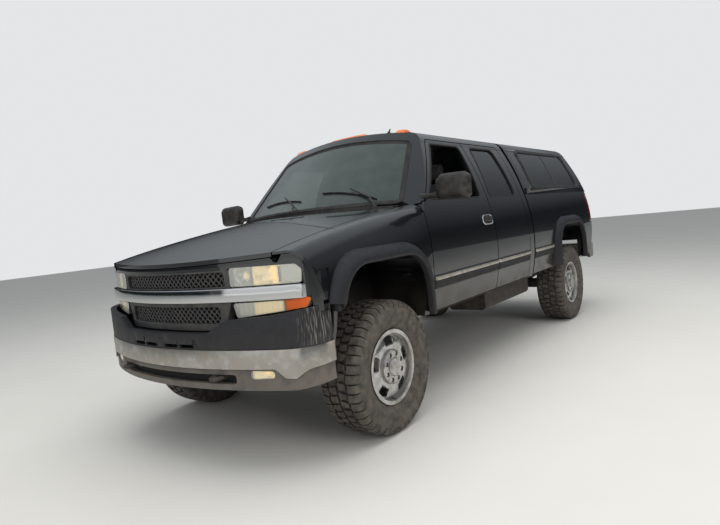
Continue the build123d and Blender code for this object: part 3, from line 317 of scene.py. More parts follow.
PAINT = clearcoat_black_paint()
TRIM = moulded_grey_trim()
VALANCE = moulded_grey_trim("dusty_grey_valance", "#4f4a45", "#7d746a", 0.5, 0.9)
CHROME = chrome_plate("chrome_plate", 0.2, 1.2, 0.35)
DUSTY_CHROME = chrome_plate("dusty_chrome_plate", 0.62, 0.95, 0.75)
ALLOY = polished_cast_alloy()
RUBBER = dust_and_groove_shade_rubber()
SCREEN = clear_glass("laminated_windscreen", "#a9b5ae", "#4a5350", 0.30, 0.95)
DARK_GLASS = clear_glass("privacy_tinted_glass", "#2a2f31", "#0d0f11", 0.45, 0.95)
CLEAR_LENS = lamp_lens("clear_lamp_lens", "#cfc9b8", "#efe3c4")
AMBER_LENS = lamp_lens("amber_lamp_lens", "#e8641e", "#f58a34")
RED_LENS = lamp_lens("red_lamp_lens", "#7a0d0d", "#9c1a14")
CHASSIS = chassis_black()
CASTING = chassis_black("bare_iron_casting", "#3b3936")
EXHAUST = chrome_plate("dull_exhaust_steel", 0.3, 0.9, 0.9)
CABIN = moulded_grey_trim("moulded_cabin_plastic", "#2e2e30", "#3a3835", -1.0, -0.5)
CLOTH = seat_cloth()
BLACK_PLASTIC = simple("satin_black_plastic", "#17171a", "#5f574d", 0.42, 0.0, 0.35)
BLACK_RUBBER = simple("black_sealing_rubber", "#141416", "#4c463f", 0.6, 0.0, 0.3)
GREY_FRAME = simple("grey_anodised_window_frame", "#3b3d41", "#77716a", 0.4, 0.6, 0.4)
BRIGHT_STRIP = simple("bright_moulding_foil", "#b9b4aa", "#8e8578", 0.28, 0.75, 0.6)
LAMP_WALL = simple("grey_lamp_housing", "#77797d", "#5a564f", 0.35, 0.5, 0.2)
MIRROR = simple("silvered_mirror_glass", "#c8ccd0", "#8f9294", 0.02, 1.0, 0.1)
REFLECTOR = fluted_reflector()
WARM_BULB = warm_bulb()
LENS = clear_glass("clear_polycarbonate_lens", "#f2f3ee", "#cfd0c8", 0.4, 0.88)
GRILLE_GREY = simple("dark_grey_grille_surround", "#36383b", "#6d655b", 0.4, 0.2, 0.5)
WIRE = simple("dusty_grille_wire", "#55575a", "#7d746a", 0.45, 0.5, 0.6)
# Painted shade: a near-black matt sheet set behind the grille's wire and behind the bumper's mouth, where
# there is only shade.
SHADE_BLACK = simple("painted_shade_black", "#0b0b0c", "#1c1a18", 0.8, 0.0, 0.2)
AMBER_CLEAR = clear_glass("amber_polycarbonate_lens", "#ffae52", "#f0862a", 0.4, 0.9)
AMBER_BACK = simple("amber_lamp_reflector", "#ffa838", "#d88a3a", 0.3, 0.2, 0.2)
REVERSE_LENS = lamp_lens("reversing_lamp_lens", "#d8d6d0", "#b9b5ad")
FLARE_PLASTIC = moulded_grey_trim("flare_plastic", "#161618", "#4b463f", 0.2, 0.8)
SCUFFED_PLASTIC = scuffed_cap_plastic()
SPOKE_ALLOY = simple("machined_spoke_alloy", "#c6c7c7", "#8d8377", 0.2, 0.95, 0.55, 3.0)

FINISH = {
    "body_paint": PAINT, "trim_plastic": TRIM, "valance_plastic": VALANCE, "bright_metal": DUSTY_CHROME,
    "wheel_alloy": ALLOY, "tyre_rubber": RUBBER, "window_glass": DARK_GLASS, "lamp_clear": CLEAR_LENS,
    "lamp_amber": AMBER_LENS, "lamp_red": RED_LENS, "chassis_steel": CHASSIS, "cast_metal": CASTING,
    "exhaust_steel": EXHAUST, "cabin_plastic": CABIN, "seat_cloth": CLOTH,
}
for part in frame["record"]["subparts"]:
    node = NODES[part["node"]]
    node.data.materials.clear()
    node.data.materials.append(FINISH[part["material_slot"]])
NODES["fixed_glass"].data.materials[0] = SCREEN
NODES["grille_bar"].data.materials[0] = CHROME
NODES["bumper_cap"].data.materials[0] = SCUFFED_PLASTIC


# Shapes of the body, as the frame has them, in millimetres

def at(x, aft, z):
    """Millimetres aft of the front axle as a point of the frame, in metres."""
    return Vector((x / 1000, aft / 1000 - MIDDLE, z / 1000))


def circle_x(points, z):
    """Outer x, at height z, of the arc through three (x, z) points."""
    (ax, az), (bx, bz), (cx, cz) = points
    d = 2 * (ax * (bz - cz) + bx * (cz - az) + cx * (az - bz))
    a2, b2, c2 = ax * ax + az * az, bx * bx + bz * bz, cx * cx + cz * cz
    ox = (a2 * (bz - cz) + b2 * (cz - az) + c2 * (az - bz)) / d
    oz = (a2 * (cx - bx) + b2 * (ax - cx) + c2 * (bx - ax)) / d
    return ox + math.sqrt(max(math.hypot(ax - ox, az - oz) ** 2 - (z - oz) ** 2, 0))


LOWER_SIDE = ((958, 645), (1008, 1000), (945, 1430))
UPPER_SIDE = ((945, 1430), (859, 1670), (750, 1890))


def side_point(aft, z, out=0.0, left=True):
    """A point that stands out millimetres off the body side."""
    arc = LOWER_SIDE if z < 1430 else UPPER_SIDE
    x = circle_x(arc, z)
    slope = circle_x(arc, z + 1) - x
    length = math.hypot(1, slope)
    x, z = x + out / length, z - out * slope / length
    return at(x if left else -x, aft, z)


SCREEN_BASE, SCREEN_Z, SCREEN_LEAN, SCREEN_R = 350.0, 1428.0, math.radians(45.5), 2500.0


def screen_point(x, t, out=0.0):
    """A point on the windscreen: x across and t up its slope, out millimetres off its outer face."""
    sag = SCREEN_R - math.sqrt(SCREEN_R ** 2 - x * x) - out
    c, s = math.cos(SCREEN_LEAN), math.sin(SCREEN_LEAN)
    return at(x - out * x / SCREEN_R, SCREEN_BASE + t * c + sag * s, SCREEN_Z + t * s - sag * c)


def nose_aft(x, behind=0.0, front=-890.0, radius=2151.0, half=1008.0, corner=190.0):
    """Aft place of the nose's plan arc and rounded corner at x, or of one behind millimetres inside it."""
    x, corner = abs(x), corner - behind
    middle = half - behind - corner
    reach = radius - corner
    aft = front + behind + radius
    if x < middle * radius / reach:
        return aft - math.sqrt(radius ** 2 - x * x)
    return aft - math.sqrt(reach ** 2 - middle ** 2) - math.sqrt(max(corner ** 2 - (x - middle) ** 2, 0))


def bumper_aft(x, behind=0.0):
    """The same for the bumper, which stands further forward and is a little narrower."""
    return nose_aft(x, behind, -960.0, 2200.0, 986.0, 210.0)


def nose_face(x, z, off):
    """A point off millimetres behind the nose's plan arc."""
    return at(x, nose_aft(x, off), z)


def side_place(sign):
    """side_point for one side, as (aft, height, off)."""
    return lambda aft, z, off: side_point(aft, z, off, sign > 0)


# Pieces

def build(name, points, faces, mats, body, replaced=(), smooth=35, picks=None, bevel=0.0):
    """One piece from points and faces; it rides a body and takes a material slot."""
    mesh = bpy.data.meshes.new(name)
    mesh.from_pydata([tuple(p) for p in points], [], faces)
    for mat in mats if isinstance(mats, (list, tuple)) else [mats]:
        mesh.materials.append(mat)
    if picks:
        mesh.polygons.foreach_set("material_index", picks)
    bm = bmesh.new()
    bm.from_mesh(mesh)
    bmesh.ops.remove_doubles(bm, verts=bm.verts, dist=1e-6)
    bmesh.ops.recalc_face_normals(bm, faces=bm.faces)
    bm.to_mesh(mesh)
    bm.free()
    if smooth:
        mesh.polygons.foreach_set("use_smooth", [True] * len(mesh.polygons))
        mesh.set_sharp_from_angle(angle=math.radians(smooth))
    obj = bpy.data.objects.new(name, mesh)
    bpy.context.scene.collection.objects.link(obj)
    if bevel:
        rounder = obj.modifiers.new("rounded_edges", "BEVEL")
        rounder.width, rounder.segments, rounder.limit_method = bevel / 1000, 2, "ANGLE"
        rounder.angle_limit = math.radians(35)
    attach(obj, body)
    if replaced:
        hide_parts(*replaced)
    return obj


def grid(rows, close_rows=False, close_ring=False):
    """Quads over rows of equally many points; rows and rings may close on themselves."""
    count = len(rows[0])
    faces = []
    for i in range(len(rows) if close_rows else len(rows) - 1):
        for j in range(count if close_ring else count - 1):
            a, b = i, (i + 1) % len(rows)
            k = (j + 1) % count
            faces.append([a * count + j, a * count + k, b * count + k, b * count + j])
    return [p for row in rows for p in row], faces


class Heap:
    """Collects points and faces of many like forms into one piece."""

    def __init__(self):
        self.points, self.faces, self.picks = [], [], []

    def add(self, points, faces, pick=0):
        """More points and faces, in the material that pick counts to."""
        base = len(self.points)
        self.points += list(points)
        self.faces += [[base + i for i in face] for face in faces]
        self.picks += [pick] * len(faces)

    def rows(self, rows, close_rows=False, close_ring=False, caps=False, pick=0):
        """A skin over rows of points; caps close its first and last row."""
        points, faces = grid(rows, close_rows, close_ring)
        if caps:
            count = len(rows[0])
            faces = faces + [list(range(count))[::-1], list(range(len(points) - count, len(points)))]
        self.add(points, faces, pick)

    def tube(self, path, radius, sides=10, pick=0):
        """A round bar along points, which may give a radius for each."""
        radii = radius if isinstance(radius, (list, tuple)) else [radius] * len(path)
        rows = []
        normal = None
        for i, p in enumerate(path):
            ahead = path[min(i + 1, len(path) - 1)] - path[max(i - 1, 0)]
            ahead.normalize()
            if normal is None:
                normal = ahead.orthogonal().normalized()
            normal = (normal - ahead * normal.dot(ahead)).normalized()
            other = ahead.cross(normal)
            turns = [2 * math.pi * k / sides for k in range(sides)]
            rows.append([p + (normal * math.cos(a) + other * math.sin(a)) * radii[i] / 1000 for a in turns])
        self.rows(rows, close_ring=True, caps=True, pick=pick)

    def done(self, name, mats, body, replaced=(), smooth=35, bevel=0.0):
        """Makes the piece."""
        return build(name, self.points, self.faces, mats, body, replaced, smooth, self.picks, bevel)


def rounded(corners, radii, steps=6):
    """A closed outline with its corners rounded by arcs."""
    if not isinstance(radii, (list, tuple)):
        radii = [radii] * len(corners)
    out = []
    for i, corner in enumerate(corners):
        c = Vector(corner)
        a = (Vector(corners[i - 1]) - c).normalized()
        b = (Vector(corners[(i + 1) % len(corners)]) - c).normalized()
        if radii[i] <= 0:
            out.append(c)
            continue
        half = math.acos(max(-1, min(1, a.dot(b)))) / 2
        reach = radii[i] / math.tan(half)
        middle = c + (a + b).normalized() * radii[i] / math.sin(half)
        p, q = c + a * reach - middle, c + b * reach - middle
        sweep = math.atan2(p.x * q.y - p.y * q.x, p.dot(q))
        for k in range(steps + 1):
            turn = sweep * k / steps
            out.append(middle + Vector((p.x * math.cos(turn) - p.y * math.sin(turn),
                                        p.x * math.sin(turn) + p.y * math.cos(turn))))
    return out


def dense(line, step):
    """The outline with no stretch longer than step."""
    out = []
    for i, p in enumerate(line):
        q = line[(i + 1) % len(line)]
        count = max(1, math.ceil((q - p).length / step))
        out += [p.lerp(q, k / count) for k in range(count)]
    return out


def inset(line, amount):
    """A closed outline moved inwards by amount."""
    area = sum(p.x * q.y - q.x * p.y for p, q in zip(line, line[1:] + line[:1]))
    sign = 1 if area > 0 else -1
    out = []
    for i, p in enumerate(line):
        run = line[(i + 1) % len(line)] - line[i - 1]
        out.append(p + Vector((-run.y, run.x)).normalized() * sign * amount)
    return out


def ring(heap, line, place, profile, pick=0):
    """A frame round an outline: profile lists (inwards, off the surface) and place maps (u, v, off)."""
    rows = [[place(p.x, p.y, off) for p in inset(line, inwards)] for inwards, off in profile]
    heap.rows(rows, close_rows=True, close_ring=True, pick=pick)


def patch(line, place, step, axes=(0,), shift=0.0):
    """A filled outline cut across each axis so that it follows a bent surface; gives points and faces."""
    bm = bmesh.new()
    bm.faces.new([bm.verts.new((p.x, p.y, 0)) for p in line])
    for axis in axes:
        low, high = min(p[axis] for p in line), max(p[axis] for p in line)
        for k in range(1, int((high - low) / step) + 1):
            where, normal = [0, 0, 0], [0, 0, 0]
            where[axis], normal[axis] = low + (k - shift) * step, 1
            bmesh.ops.bisect_plane(bm, geom=bm.verts[:] + bm.edges[:] + bm.faces[:], dist=1e-4,
                                   plane_co=where, plane_no=normal)
    bm.verts.index_update()
    points = [place(v.co.x, v.co.y) for v in bm.verts]
    faces = [[v.index for v in f.verts] for f in bm.faces]
    bm.free()
    return points, faces


SIDES = (("left", 1), ("right", -1))


# Tyres: a carcass of revolution with raised tread blocks

CARCASS = [
    # (x, radius) from the bead over the shoulder to the middle
    (107.5, 218.8), (110, 235), (116, 240), (124, 250), (132, 272), (138, 290), (139.5, 291),
    (139.5, 296), (141, 300), (144, 322), (144.5, 345), (142, 366), (137, 384), (128, 395), (110, 401),
    (60, 404), (0, 405),
]
SHOULDER = [
    # (x, radius) over a shoulder block, from its inner end out and down the side wall
    (69, 416.6), (96, 416.0), (116, 413.4), (129, 406.0), (137.5, 396.0), (142, 386.0), (144, 376.0),
    (143, 370.0),
]
BLOCKS = 46
INNER_BLOCK = [
    # (x, share of the pitch) round a block of an inner row, zig-zagged
    (8, -0.30), (30, -0.42), (52, -0.22), (62, -0.30), (62, 0.16), (54, 0.30), (30, 0.34), (14, 0.44),
    (8, 0.34),
]
CARCASS_STEPS = 128
BLOCK_TOP, BLOCK_FOOT = 417.4, 404


def wheel_point(x, radius, angle):
    """A point of a wheel from its middle, in metres; the angle runs from the top to the rear."""
    return Vector((x, radius * math.sin(angle), radius * math.cos(angle))) / 1000


def hub_place(end, sign):
    """The middle of a wheel, in metres."""
    return Vector((sign * HALF_TRACK, FRONT_AXLE_Y if end == "front" else REAR_AXLE_Y, TYRE_R))


def make_tyre(name, end, side):
    """A carcass with two shoulder rows and two inner rows of blocks."""
    heap = Heap()
    profile = CARCASS + [(-x, r) for x, r in CARCASS[-2::-1]]
    turns = [2 * math.pi * k / CARCASS_STEPS for k in range(CARCASS_STEPS)]
    heap.rows([[wheel_point(x, r, a) for a in turns] for x, r in profile], close_ring=True)
    pitch = 2 * math.pi / BLOCKS
    for k in range(BLOCKS):
        for s in (1, -1):
            middle = pitch * (k + (0.5 if s < 0 else 0.0))
            half = pitch * 0.455
            line = SHOULDER if k % 2 else [(76, 416.6)] + SHOULDER[1:-1] + [(142.5, 378.0)]
            rows = []
            for x, r in line:
                on_tread = x < 130
                low = r - (13 if on_tread else 6)
                low_x = x if on_tread else x - 3
                skew = pitch * 0.10 * (x - 69) / 80
                rows.append([wheel_point(s * low_x, low, middle - half + skew),
                             wheel_point(s * x, r, middle - half * 0.93 + skew),
                             wheel_point(s * x, r, middle + half * 0.93 + skew),
                             wheel_point(s * low_x, low, middle + half + skew)])
            heap.rows(rows)
            for row in (rows[0], rows[-1]):
                heap.add(row, [[0, 1, 2, 3]])
            turn = pitch * (k + (0.25 if s > 0 else 0.75))
            top = [wheel_point(s * x, BLOCK_TOP, turn + pitch * share) for x, share in INNER_BLOCK]
            foot = [wheel_point(s * (35 + (x - 35) * 1.04), BLOCK_FOOT, turn + pitch * share * 1.05)
                    for x, share in INNER_BLOCK]
            heap.rows([foot, top], close_ring=True)
            heap.add(top, [list(range(len(top)))])
    centre = hub_place(end, 1 if side == "left" else -1)
    heap.points = [centre + p for p in heap.points]
    return heap.done(name, RUBBER, f"wheel_{end}_{side}", [f"tyre_{end}_{side}"])


NUTS, NUT_CIRCLE_R = 8, 82.5
NUT_STEPS = ((98, 11.5), (114, 11.5), (118, 9.0))  # (x, half the width across corners)
STEM_STEPS = ((70, 199), (92, 203), (112, 205))  # (x, distance below the hub)
for end in ("front", "rear"):
    for side, sign in SIDES:
        make_tyre(f"lugged_tyre_{end}_{side}", end, side)
        hub = hub_place(end, sign)
        heap = Heap()
        for k in range(NUTS):
            angle = 2 * math.pi * (k + 0.5) / NUTS
            rows = []
            for x, r in NUT_STEPS:
                rows.append([hub + Vector((sign * x, NUT_CIRCLE_R * math.sin(angle) + r * math.sin(t),
                                           NUT_CIRCLE_R * math.cos(angle) + r * math.cos(t))) / 1000
                             for t in [math.pi / 3 * q for q in range(6)]])
            heap.rows(rows, close_ring=True, caps=True)
        stem = [hub + Vector((sign * x, 0, -r)) / 1000 for x, r in STEM_STEPS]
        heap.tube(stem, [6, 5, 4], pick=1)
        heap.done(f"wheel_nuts_and_valve_{end}_{side}", [CHROME, RUBBER], f"wheel_{end}_{side}",
                  smooth=25)


# Side mouldings: a dark ribbed strip with a bright insert, broken at the door gaps

MOULDING_Z = 860.0
MOULDING_RUNS = [
    # (name, body, aft start, aft end)
    ("front_door", "door_front", 572, 1638), ("rear_door", "door_rear", 1662, 2390),
    ("bed", "truck_body", 2548, 3068),
]
MOULDING_SECTION = [
    # (height above the middle, off the body, material: 0 dark, 1 bright)
    (-50, 0, 0), (-48, 9, 0), (-38, 13, 0), (-35, 8, 0), (-25, 14, 0), (-22, 9, 0), (-12, 15, 0),
    (-9, 10, 0), (2, 16, 0), (5, 12, 0), (14, 17, 1), (20, 18, 1), (30, 18, 1), (36, 14, 1), (39, 16, 0),
    (46, 12, 0), (50, 0, 0),
]
for run, body, start, end in MOULDING_RUNS:
    for side, sign in SIDES:
        heap = Heap()
        stations = [(start, 0.15), (start + 5, 0.8), (start + 14, 1.0),
                    (end - 14, 1.0), (end - 5, 0.8), (end, 0.15)]
        for (za, oa, pick), (zb, ob, _) in zip(MOULDING_SECTION, MOULDING_SECTION[1:]):
            rows = [[side_point(aft, MOULDING_Z + za, oa * full - 1, sign > 0),
                     side_point(aft, MOULDING_Z + zb, ob * full - 1, sign > 0)] for aft, full in stations]
            heap.rows(rows, pick=pick)
        for aft, full in (stations[0], stations[-1]):
            cap = [side_point(aft, MOULDING_Z + z, off * full - 1, sign > 0)
                   for z, off, _ in MOULDING_SECTION]
            heap.add(cap, [list(range(len(cap)))])
        rides = body if body == "truck_body" else f"{body}_{side}"
        heap.done(f"side_moulding_{run}_{side}", [TRIM, BRIGHT_STRIP], rides, smooth=20)


# Door handles: an oval escutcheon with a bright rim and a black pull

LOCK_AFT, LOCK_Z, LOCK_R = 1592, 1217, 9
for side, sign in SIDES:
    heap = Heap()
    place = side_place(sign)
    oval = dense(rounded([(1440, 1206), (1440, 1288), (1626, 1288), (1626, 1206)], 38), 30)
    ring(heap, oval, place, [(-2, -1), (0, 5), (7, 7), (11, 4), (12, -1)], pick=1)
    points, faces = patch(inset(oval, 11), lambda u, v: place(u, v, 1.0), 40)
    heap.add(points, faces, 0)
    pull = rounded([(1456, 1232), (1456, 1270), (1610, 1270), (1610, 1232)], 16)
    rows = [[place(p.x, p.y, off) for p in inset(pull, amount)] for amount, off in ((0, 2), (0, 12), (5, 18))]
    heap.rows(rows, close_ring=True)
    heap.add(rows[-1], [list(range(len(pull)))])
    turns = [a * math.pi / 6 for a in range(12)]
    rows = [[place(LOCK_AFT + LOCK_R * math.cos(a), LOCK_Z + LOCK_R * math.sin(a), off) for a in turns]
            for off in (0, 5)]
    heap.rows(rows, close_ring=True, caps=True, pick=1)
    heap.done(f"door_handle_{side}", [BLACK_PLASTIC, CHROME], f"door_front_{side}")


# Window frames and rubbers

WINDOW_FOOT = 1441
PANE_BAR_AFT = 3575
DOOR_WINDOW = ([(692, 1440), (1096, 1882), (1566, 1882), (1530, 1440)], [26, 30, 34, 30])
REAR_WINDOW = ([(1712, 1440), (1782, 1882), (2240, 1882), (2290, 1440)], [36, 44, 56, 46])
CANOPY_WINDOW = ([(2830, 1508), (2862, 1905), (4300, 1905), (4336, 1508)], 60)
RUBBER_LIP = [(-9, -2), (-8, 3), (-2, 4.5), (2, 2), (2, -8), (-3, -8)]
CANOPY_FRAME = [(-17, -2), (-16, 7), (-9, 9), (-7, 5), (3, 5), (5, 9), (12, 8), (12, -6), (4, -7)]
for side, sign in SIDES:
    for label, (corners, radii), body, profile, mat in (
            ("door_front", DOOR_WINDOW, f"door_front_{side}", RUBBER_LIP, BLACK_RUBBER),
            ("door_rear", REAR_WINDOW, f"door_rear_{side}", RUBBER_LIP, BLACK_RUBBER),
            ("canopy", CANOPY_WINDOW, "truck_body", CANOPY_FRAME, GREY_FRAME)):
        heap = Heap()
        line = dense(rounded(corners, radii), 45)
        if label != "canopy":
            for p in line:
                p.y = max(p.y, WINDOW_FOOT)
        ring(heap, line, side_place(sign), profile)
        if label == "canopy":
            bar = [(-13, 1), (-11, 7), (11, 7), (13, 1)]
            heap.rows([[side_point(PANE_BAR_AFT + u, v, off - 8, sign > 0) for u, off in bar]
                       for v in (1512, 1610, 1710, 1810, 1900)])
        heap.done(f"window_frame_{label}_{side}", mat, body)

GLASS_HALF, GLASS_FOOT, GLASS_BOW = 808, 36, 105
screen = [(x, GLASS_FOOT + GLASS_BOW * (x / GLASS_HALF) ** 2)
          for x in range(-GLASS_HALF, GLASS_HALF + 1, GLASS_HALF // 4)]
screen += [(676, 770), (0, 778), (-676, 770)]
screen = dense(rounded(screen, [55] + [0] * 7 + [55, 55, 0, 55]), 60)
heap = Heap()
SCREEN_LIP = [(-10, 1), (-9, 5), (0, 6), (3, 0), (30, -1.5), (30, -3), (-9, -3)]
ring(heap, screen, screen_point, SCREEN_LIP)
heap.done("windscreen_surround", BLACK_RUBBER, "truck_body")


# Wipers and the cowl's slotted panel

HOOD_BACK, HOOD_BACK_R = 262, 1830


def hood_back(x):
    """Aft place of the hood's bowed rear edge at x."""
    return HOOD_BACK + HOOD_BACK_R - math.sqrt(HOOD_BACK_R ** 2 - x * x)


heap = Heap()
for k in range(-20, 21):
    x = k * 31.0
    front = hood_back(x) + 14
    rows = []
    for share in (0.0, 0.33, 0.66, 1.0):
        aft = front + share * (74 + abs(x) * 0.02)
        lift = 1449 - (x / 640.0) ** 2 * 22
        rows.append([at(x - 12, aft, lift), at(x - 12, aft, lift + 7),
                     at(x + 12, aft, lift + 7), at(x + 12, aft, lift)])
    heap.rows(rows)
    heap.add(rows[0] + rows[-1], [[0, 1, 2, 3], [7, 6, 5, 4]])
heap.done("cowl_slots", BLACK_PLASTIC, "truck_body", bevel=1.5)

heap = Heap()
WIPER_TIP_T = 250
for pivot_x, tip_x in ((640, 120), (-60, -560)):
    base = at(pivot_x, hood_back(pivot_x) + 60, 1452 - (pivot_x / 640.0) ** 2 * 20)
    shoulder = screen_point(pivot_x - 60, 92 + abs(pivot_x) * 0.08, 26)
    tip = screen_point((pivot_x + tip_x) / 2, (WIPER_TIP_T + 130) / 2 + 40, 20)
    heap.tube([base - Vector((0, 0, 0.012)), base + Vector((0, 0, 0.012))], [20, 17], 14)
    heap.tube([base, shoulder, tip], [9, 8, 5])
    blade = [screen_point(pivot_x - 20 + (tip_x - pivot_x + 20) * k / 8,
                          150 + 120 * (k / 8) * (1 - k / 16), 9) for k in range(9)]
    heap.tube(blade, 5, 6)
    heap.tube([p + Vector((0, 0.006, -0.006)) for p in blade], 4, 6)
heap.done("windscreen_wipers", BLACK_PLASTIC, "truck_body")


# Lamps: a glazed front, bright side walls and a shaped reflector behind it

def mesh_patch(line, place, step):
    """A filled outline cut into squares, with no cut through its straight corners."""
    return patch(line, place, step, (0, 1), 0.37)


def nose_lamp(heap, sign, line, aft, depth, shape, step=9.0):
    """One lamp in the nose: aft(x, behind) is its surface, shape(x, z) the reflector's depth from it."""
    def face(x, z, off):
        return at(sign * x, aft(x, 1.0 + off), z)
    points, faces = mesh_patch(line, lambda x, z: face(x, z, 0), 30)
    heap.add(points, faces, 0)
    rows = [[face(p.x, p.y, off) for p in inset(line, 1.5)] for off in (0.5, depth * 0.5, depth)]
    heap.rows(rows, close_ring=True, pick=2)
    points, faces = mesh_patch(inset(line, 1.5), lambda x, z: face(x, z, min(depth, shape(x, z))), step)
    heap.add(points, faces, 1)


def bowl(cx, cz, radius, deep, shallow):
    """A reflector bowl: deep at its middle, shallow past its rim."""
    def shape(x, z):
        far = math.hypot(x - cx, z - cz) / radius
        return shallow + (deep - shallow) * max(0.0, 1 - far * far)
    return shape


INNER_WALL, OUTER_WALL = 655, 812
HIGH_BEAM, LOW_BEAM, FOG_BEAM = (598, 1096), (735, 1096), (716, 571)
high_bowl, low_bowl = bowl(*HIGH_BEAM, 46, 62, 24), bowl(*LOW_BEAM, 72, 66, 20)


def headlamp_shape(x, z):
    """Depth of the headlamp's reflector: two bowls and, outside them, a fluted corner."""
    if x < INNER_WALL:
        return high_bowl(x, z)
    if x < OUTER_WALL:
        return low_bowl(x, z)
    flute = 1.4 if int(x / 9) % 2 else 0.0
    return 16 + flute + (x - OUTER_WALL) * 0.10


HEAD_LINE = [(533, 1044), (533, 1148), (906, 1146), (934, 1116), (928, 1044)]
LOW_LINE = [(556, 872), (536, 955), (832, 957), (832, 900)]
FOG_LINE = [(648, 546), (648, 596), (786, 592), (786, 552)]
for side, sign in SIDES:
    heap = Heap()
    nose_lamp(heap, sign, dense(rounded(HEAD_LINE, [10, 16, 20, 20, 14]), 60), nose_aft, 66, headlamp_shape)
    nose_lamp(heap, sign, dense(rounded(LOW_LINE, [14, 14, 1, 1]), 60), nose_aft, 50,
              lambda x, z: 14 + 4 * math.sin(x / 9.0) ** 2)
    nose_lamp(heap, sign, dense(rounded(FOG_LINE, 18), 60), lambda x, i: bumper_aft(x, 16 + i), 27,
              bowl(*FOG_BEAM, 40, 26, 10))
    for (cx, cz), surface, behind, size in ((HIGH_BEAM, nose_aft, 34, 15), (LOW_BEAM, nose_aft, 34, 17),
                                            (FOG_BEAM, bumper_aft, 24, 8)):
        aft = surface(cx, behind)
        heap.tube([at(sign * cx, aft + 16, cz), at(sign * cx, aft + 8, cz), at(sign * cx, aft, cz)],
                  [size, size, size * 0.55], 16, pick=3)
    for x in (INNER_WALL, OUTER_WALL):
        rows = [[at(sign * (x + dx), nose_aft(x, off), z) for z in (1054, 1096, 1138)] for dx, off in
                ((-3, 60), (-3, 9), (3, 9), (3, 60))]
        heap.rows(rows, pick=4)
    heap.done(f"front_lamp_units_{side}", [LENS, REFLECTOR, LAMP_WALL, WARM_BULB, LAMP_WALL], "truck_body",
              ["front_lamps"] if side == "left" else (), smooth=30)


# Mirror glass in a thin black bezel, a little crowned

MIRROR_MIDDLE = Vector((1160, 1512))
MIRROR_REAR = 680
for side, sign in SIDES:
    heap = Heap()
    glass = rounded([(1046, 1434), (1046, 1588), (1274, 1588), (1274, 1434)], 34)
    heap.rows([[at(sign * p.x, MIRROR_REAR + off, p.y) for p in inset(glass, amount)]
               for amount, off in ((-6, 0), (-5, 6), (0, 6), (3, 2))], close_ring=True, pick=1)
    points, faces = mesh_patch(
        inset(glass, 2),
        lambda u, v: at(sign * u, MIRROR_REAR + (2.2 - ((u - MIRROR_MIDDLE.x) / 260) ** 2), v), 60)
    heap.add(points, faces, 0)
    heap.done(f"mirror_glass_{side}", [MIRROR, BLACK_PLASTIC], f"door_front_{side}")


# Seats: stuffed cloth pads on a moulded base

def signed_area(line):
    """Area of an outline, positive where it runs anticlockwise."""
    return sum(p[0] * q[1] - q[0] * p[1] for p, q in zip(line, list(line[1:]) + [line[0]]))


def blown(obj):
    cloth = obj.modifiers.new("cloth", "CLOTH").settings
    cloth.use_pressure, cloth.uniform_pressure_force, cloth.quality = True, 4.0, 4
    cloth.effector_weights.gravity = 0
    for number in range(1, 21):
        bpy.context.scene.frame_set(number)
    result = obj.evaluated_get(bpy.context.evaluated_depsgraph_get()).to_mesh()
    moved = [v.co.copy() for v in result.vertices]
    obj.modifiers.clear()
    bpy.context.scene.frame_set(1)
    return moved


def stuffed(name, outline, low_x, high_x, shrink, cap, voxel, grooves=(), mirror=None):
    """A foam cushion blown up from a smaller closed form, then sewn.

    outline lists (aft, height); grooves list (axis, place, width, depth); mirror names a twin."""
    line = inset([Vector(p) for p in outline], shrink)
    bm = bmesh.new()
    ring_a = [bm.verts.new(at(low_x + shrink, p.x, p.y)) for p in line]
    ring_b = [bm.verts.new(at(high_x - shrink, p.x, p.y)) for p in line]
    bm.faces.new(ring_a)
    bm.faces.new(ring_b[::-1])
    for i in range(len(line)):
        j = (i + 1) % len(line)
        bm.faces.new([ring_a[j], ring_a[i], ring_b[i], ring_b[j]])
    bmesh.ops.recalc_face_normals(bm, faces=bm.faces)
    mesh = bpy.data.meshes.new(name)
    bm.to_mesh(mesh)
    bm.free()
    obj = bpy.data.objects.new(name, mesh)
    bpy.context.scene.collection.objects.link(obj)
    remesh = obj.modifiers.new("voxels", "REMESH")
    remesh.mode, remesh.voxel_size = "VOXEL", voxel / 1000
    soften = obj.modifiers.new("soften", "SMOOTH")
    soften.iterations = 6
    mesh = bpy.data.meshes.new_from_object(obj.evaluated_get(bpy.context.evaluated_depsgraph_get()))
    obj.modifiers.clear()
    obj.data = mesh
    rest = [v.co.copy() for v in mesh.vertices]
    for v, a, b in zip(mesh.vertices, rest, blown(obj)):
        shift = b - a
        if shift.length > cap / 1000:
            shift *= cap / 1000 / shift.length
        v.co = a + shift
    mesh.update()
    normals = [v.normal.copy() for v in mesh.vertices]
    for v, normal in zip(mesh.vertices, normals):
        sink = 0.0
        for axis, place, width, depth in grooves:
            sink = max(sink, depth * math.exp(-((v.co[axis] * 1000 - place) / width) ** 2))
        v.co -= normal * sink / 1000
    mesh.polygons.foreach_set("use_smooth", [True] * len(mesh.polygons))
    out = [obj]
    if mirror:
        twin_mesh = mesh.copy()
        twin_mesh.transform(Matrix.Scale(-1, 4, (1, 0, 0)))
        twin_mesh.flip_normals()
        twin = bpy.data.objects.new(mirror, twin_mesh)
        bpy.context.scene.collection.objects.link(twin)
        out.append(twin)
    for piece in out:
        piece.data.materials.clear()
        piece.data.materials.append(CLOTH)
        fine = piece.modifiers.new("fine", "SUBSURF")
        fine.levels = fine.render_levels = 1
        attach(piece, "truck_body")


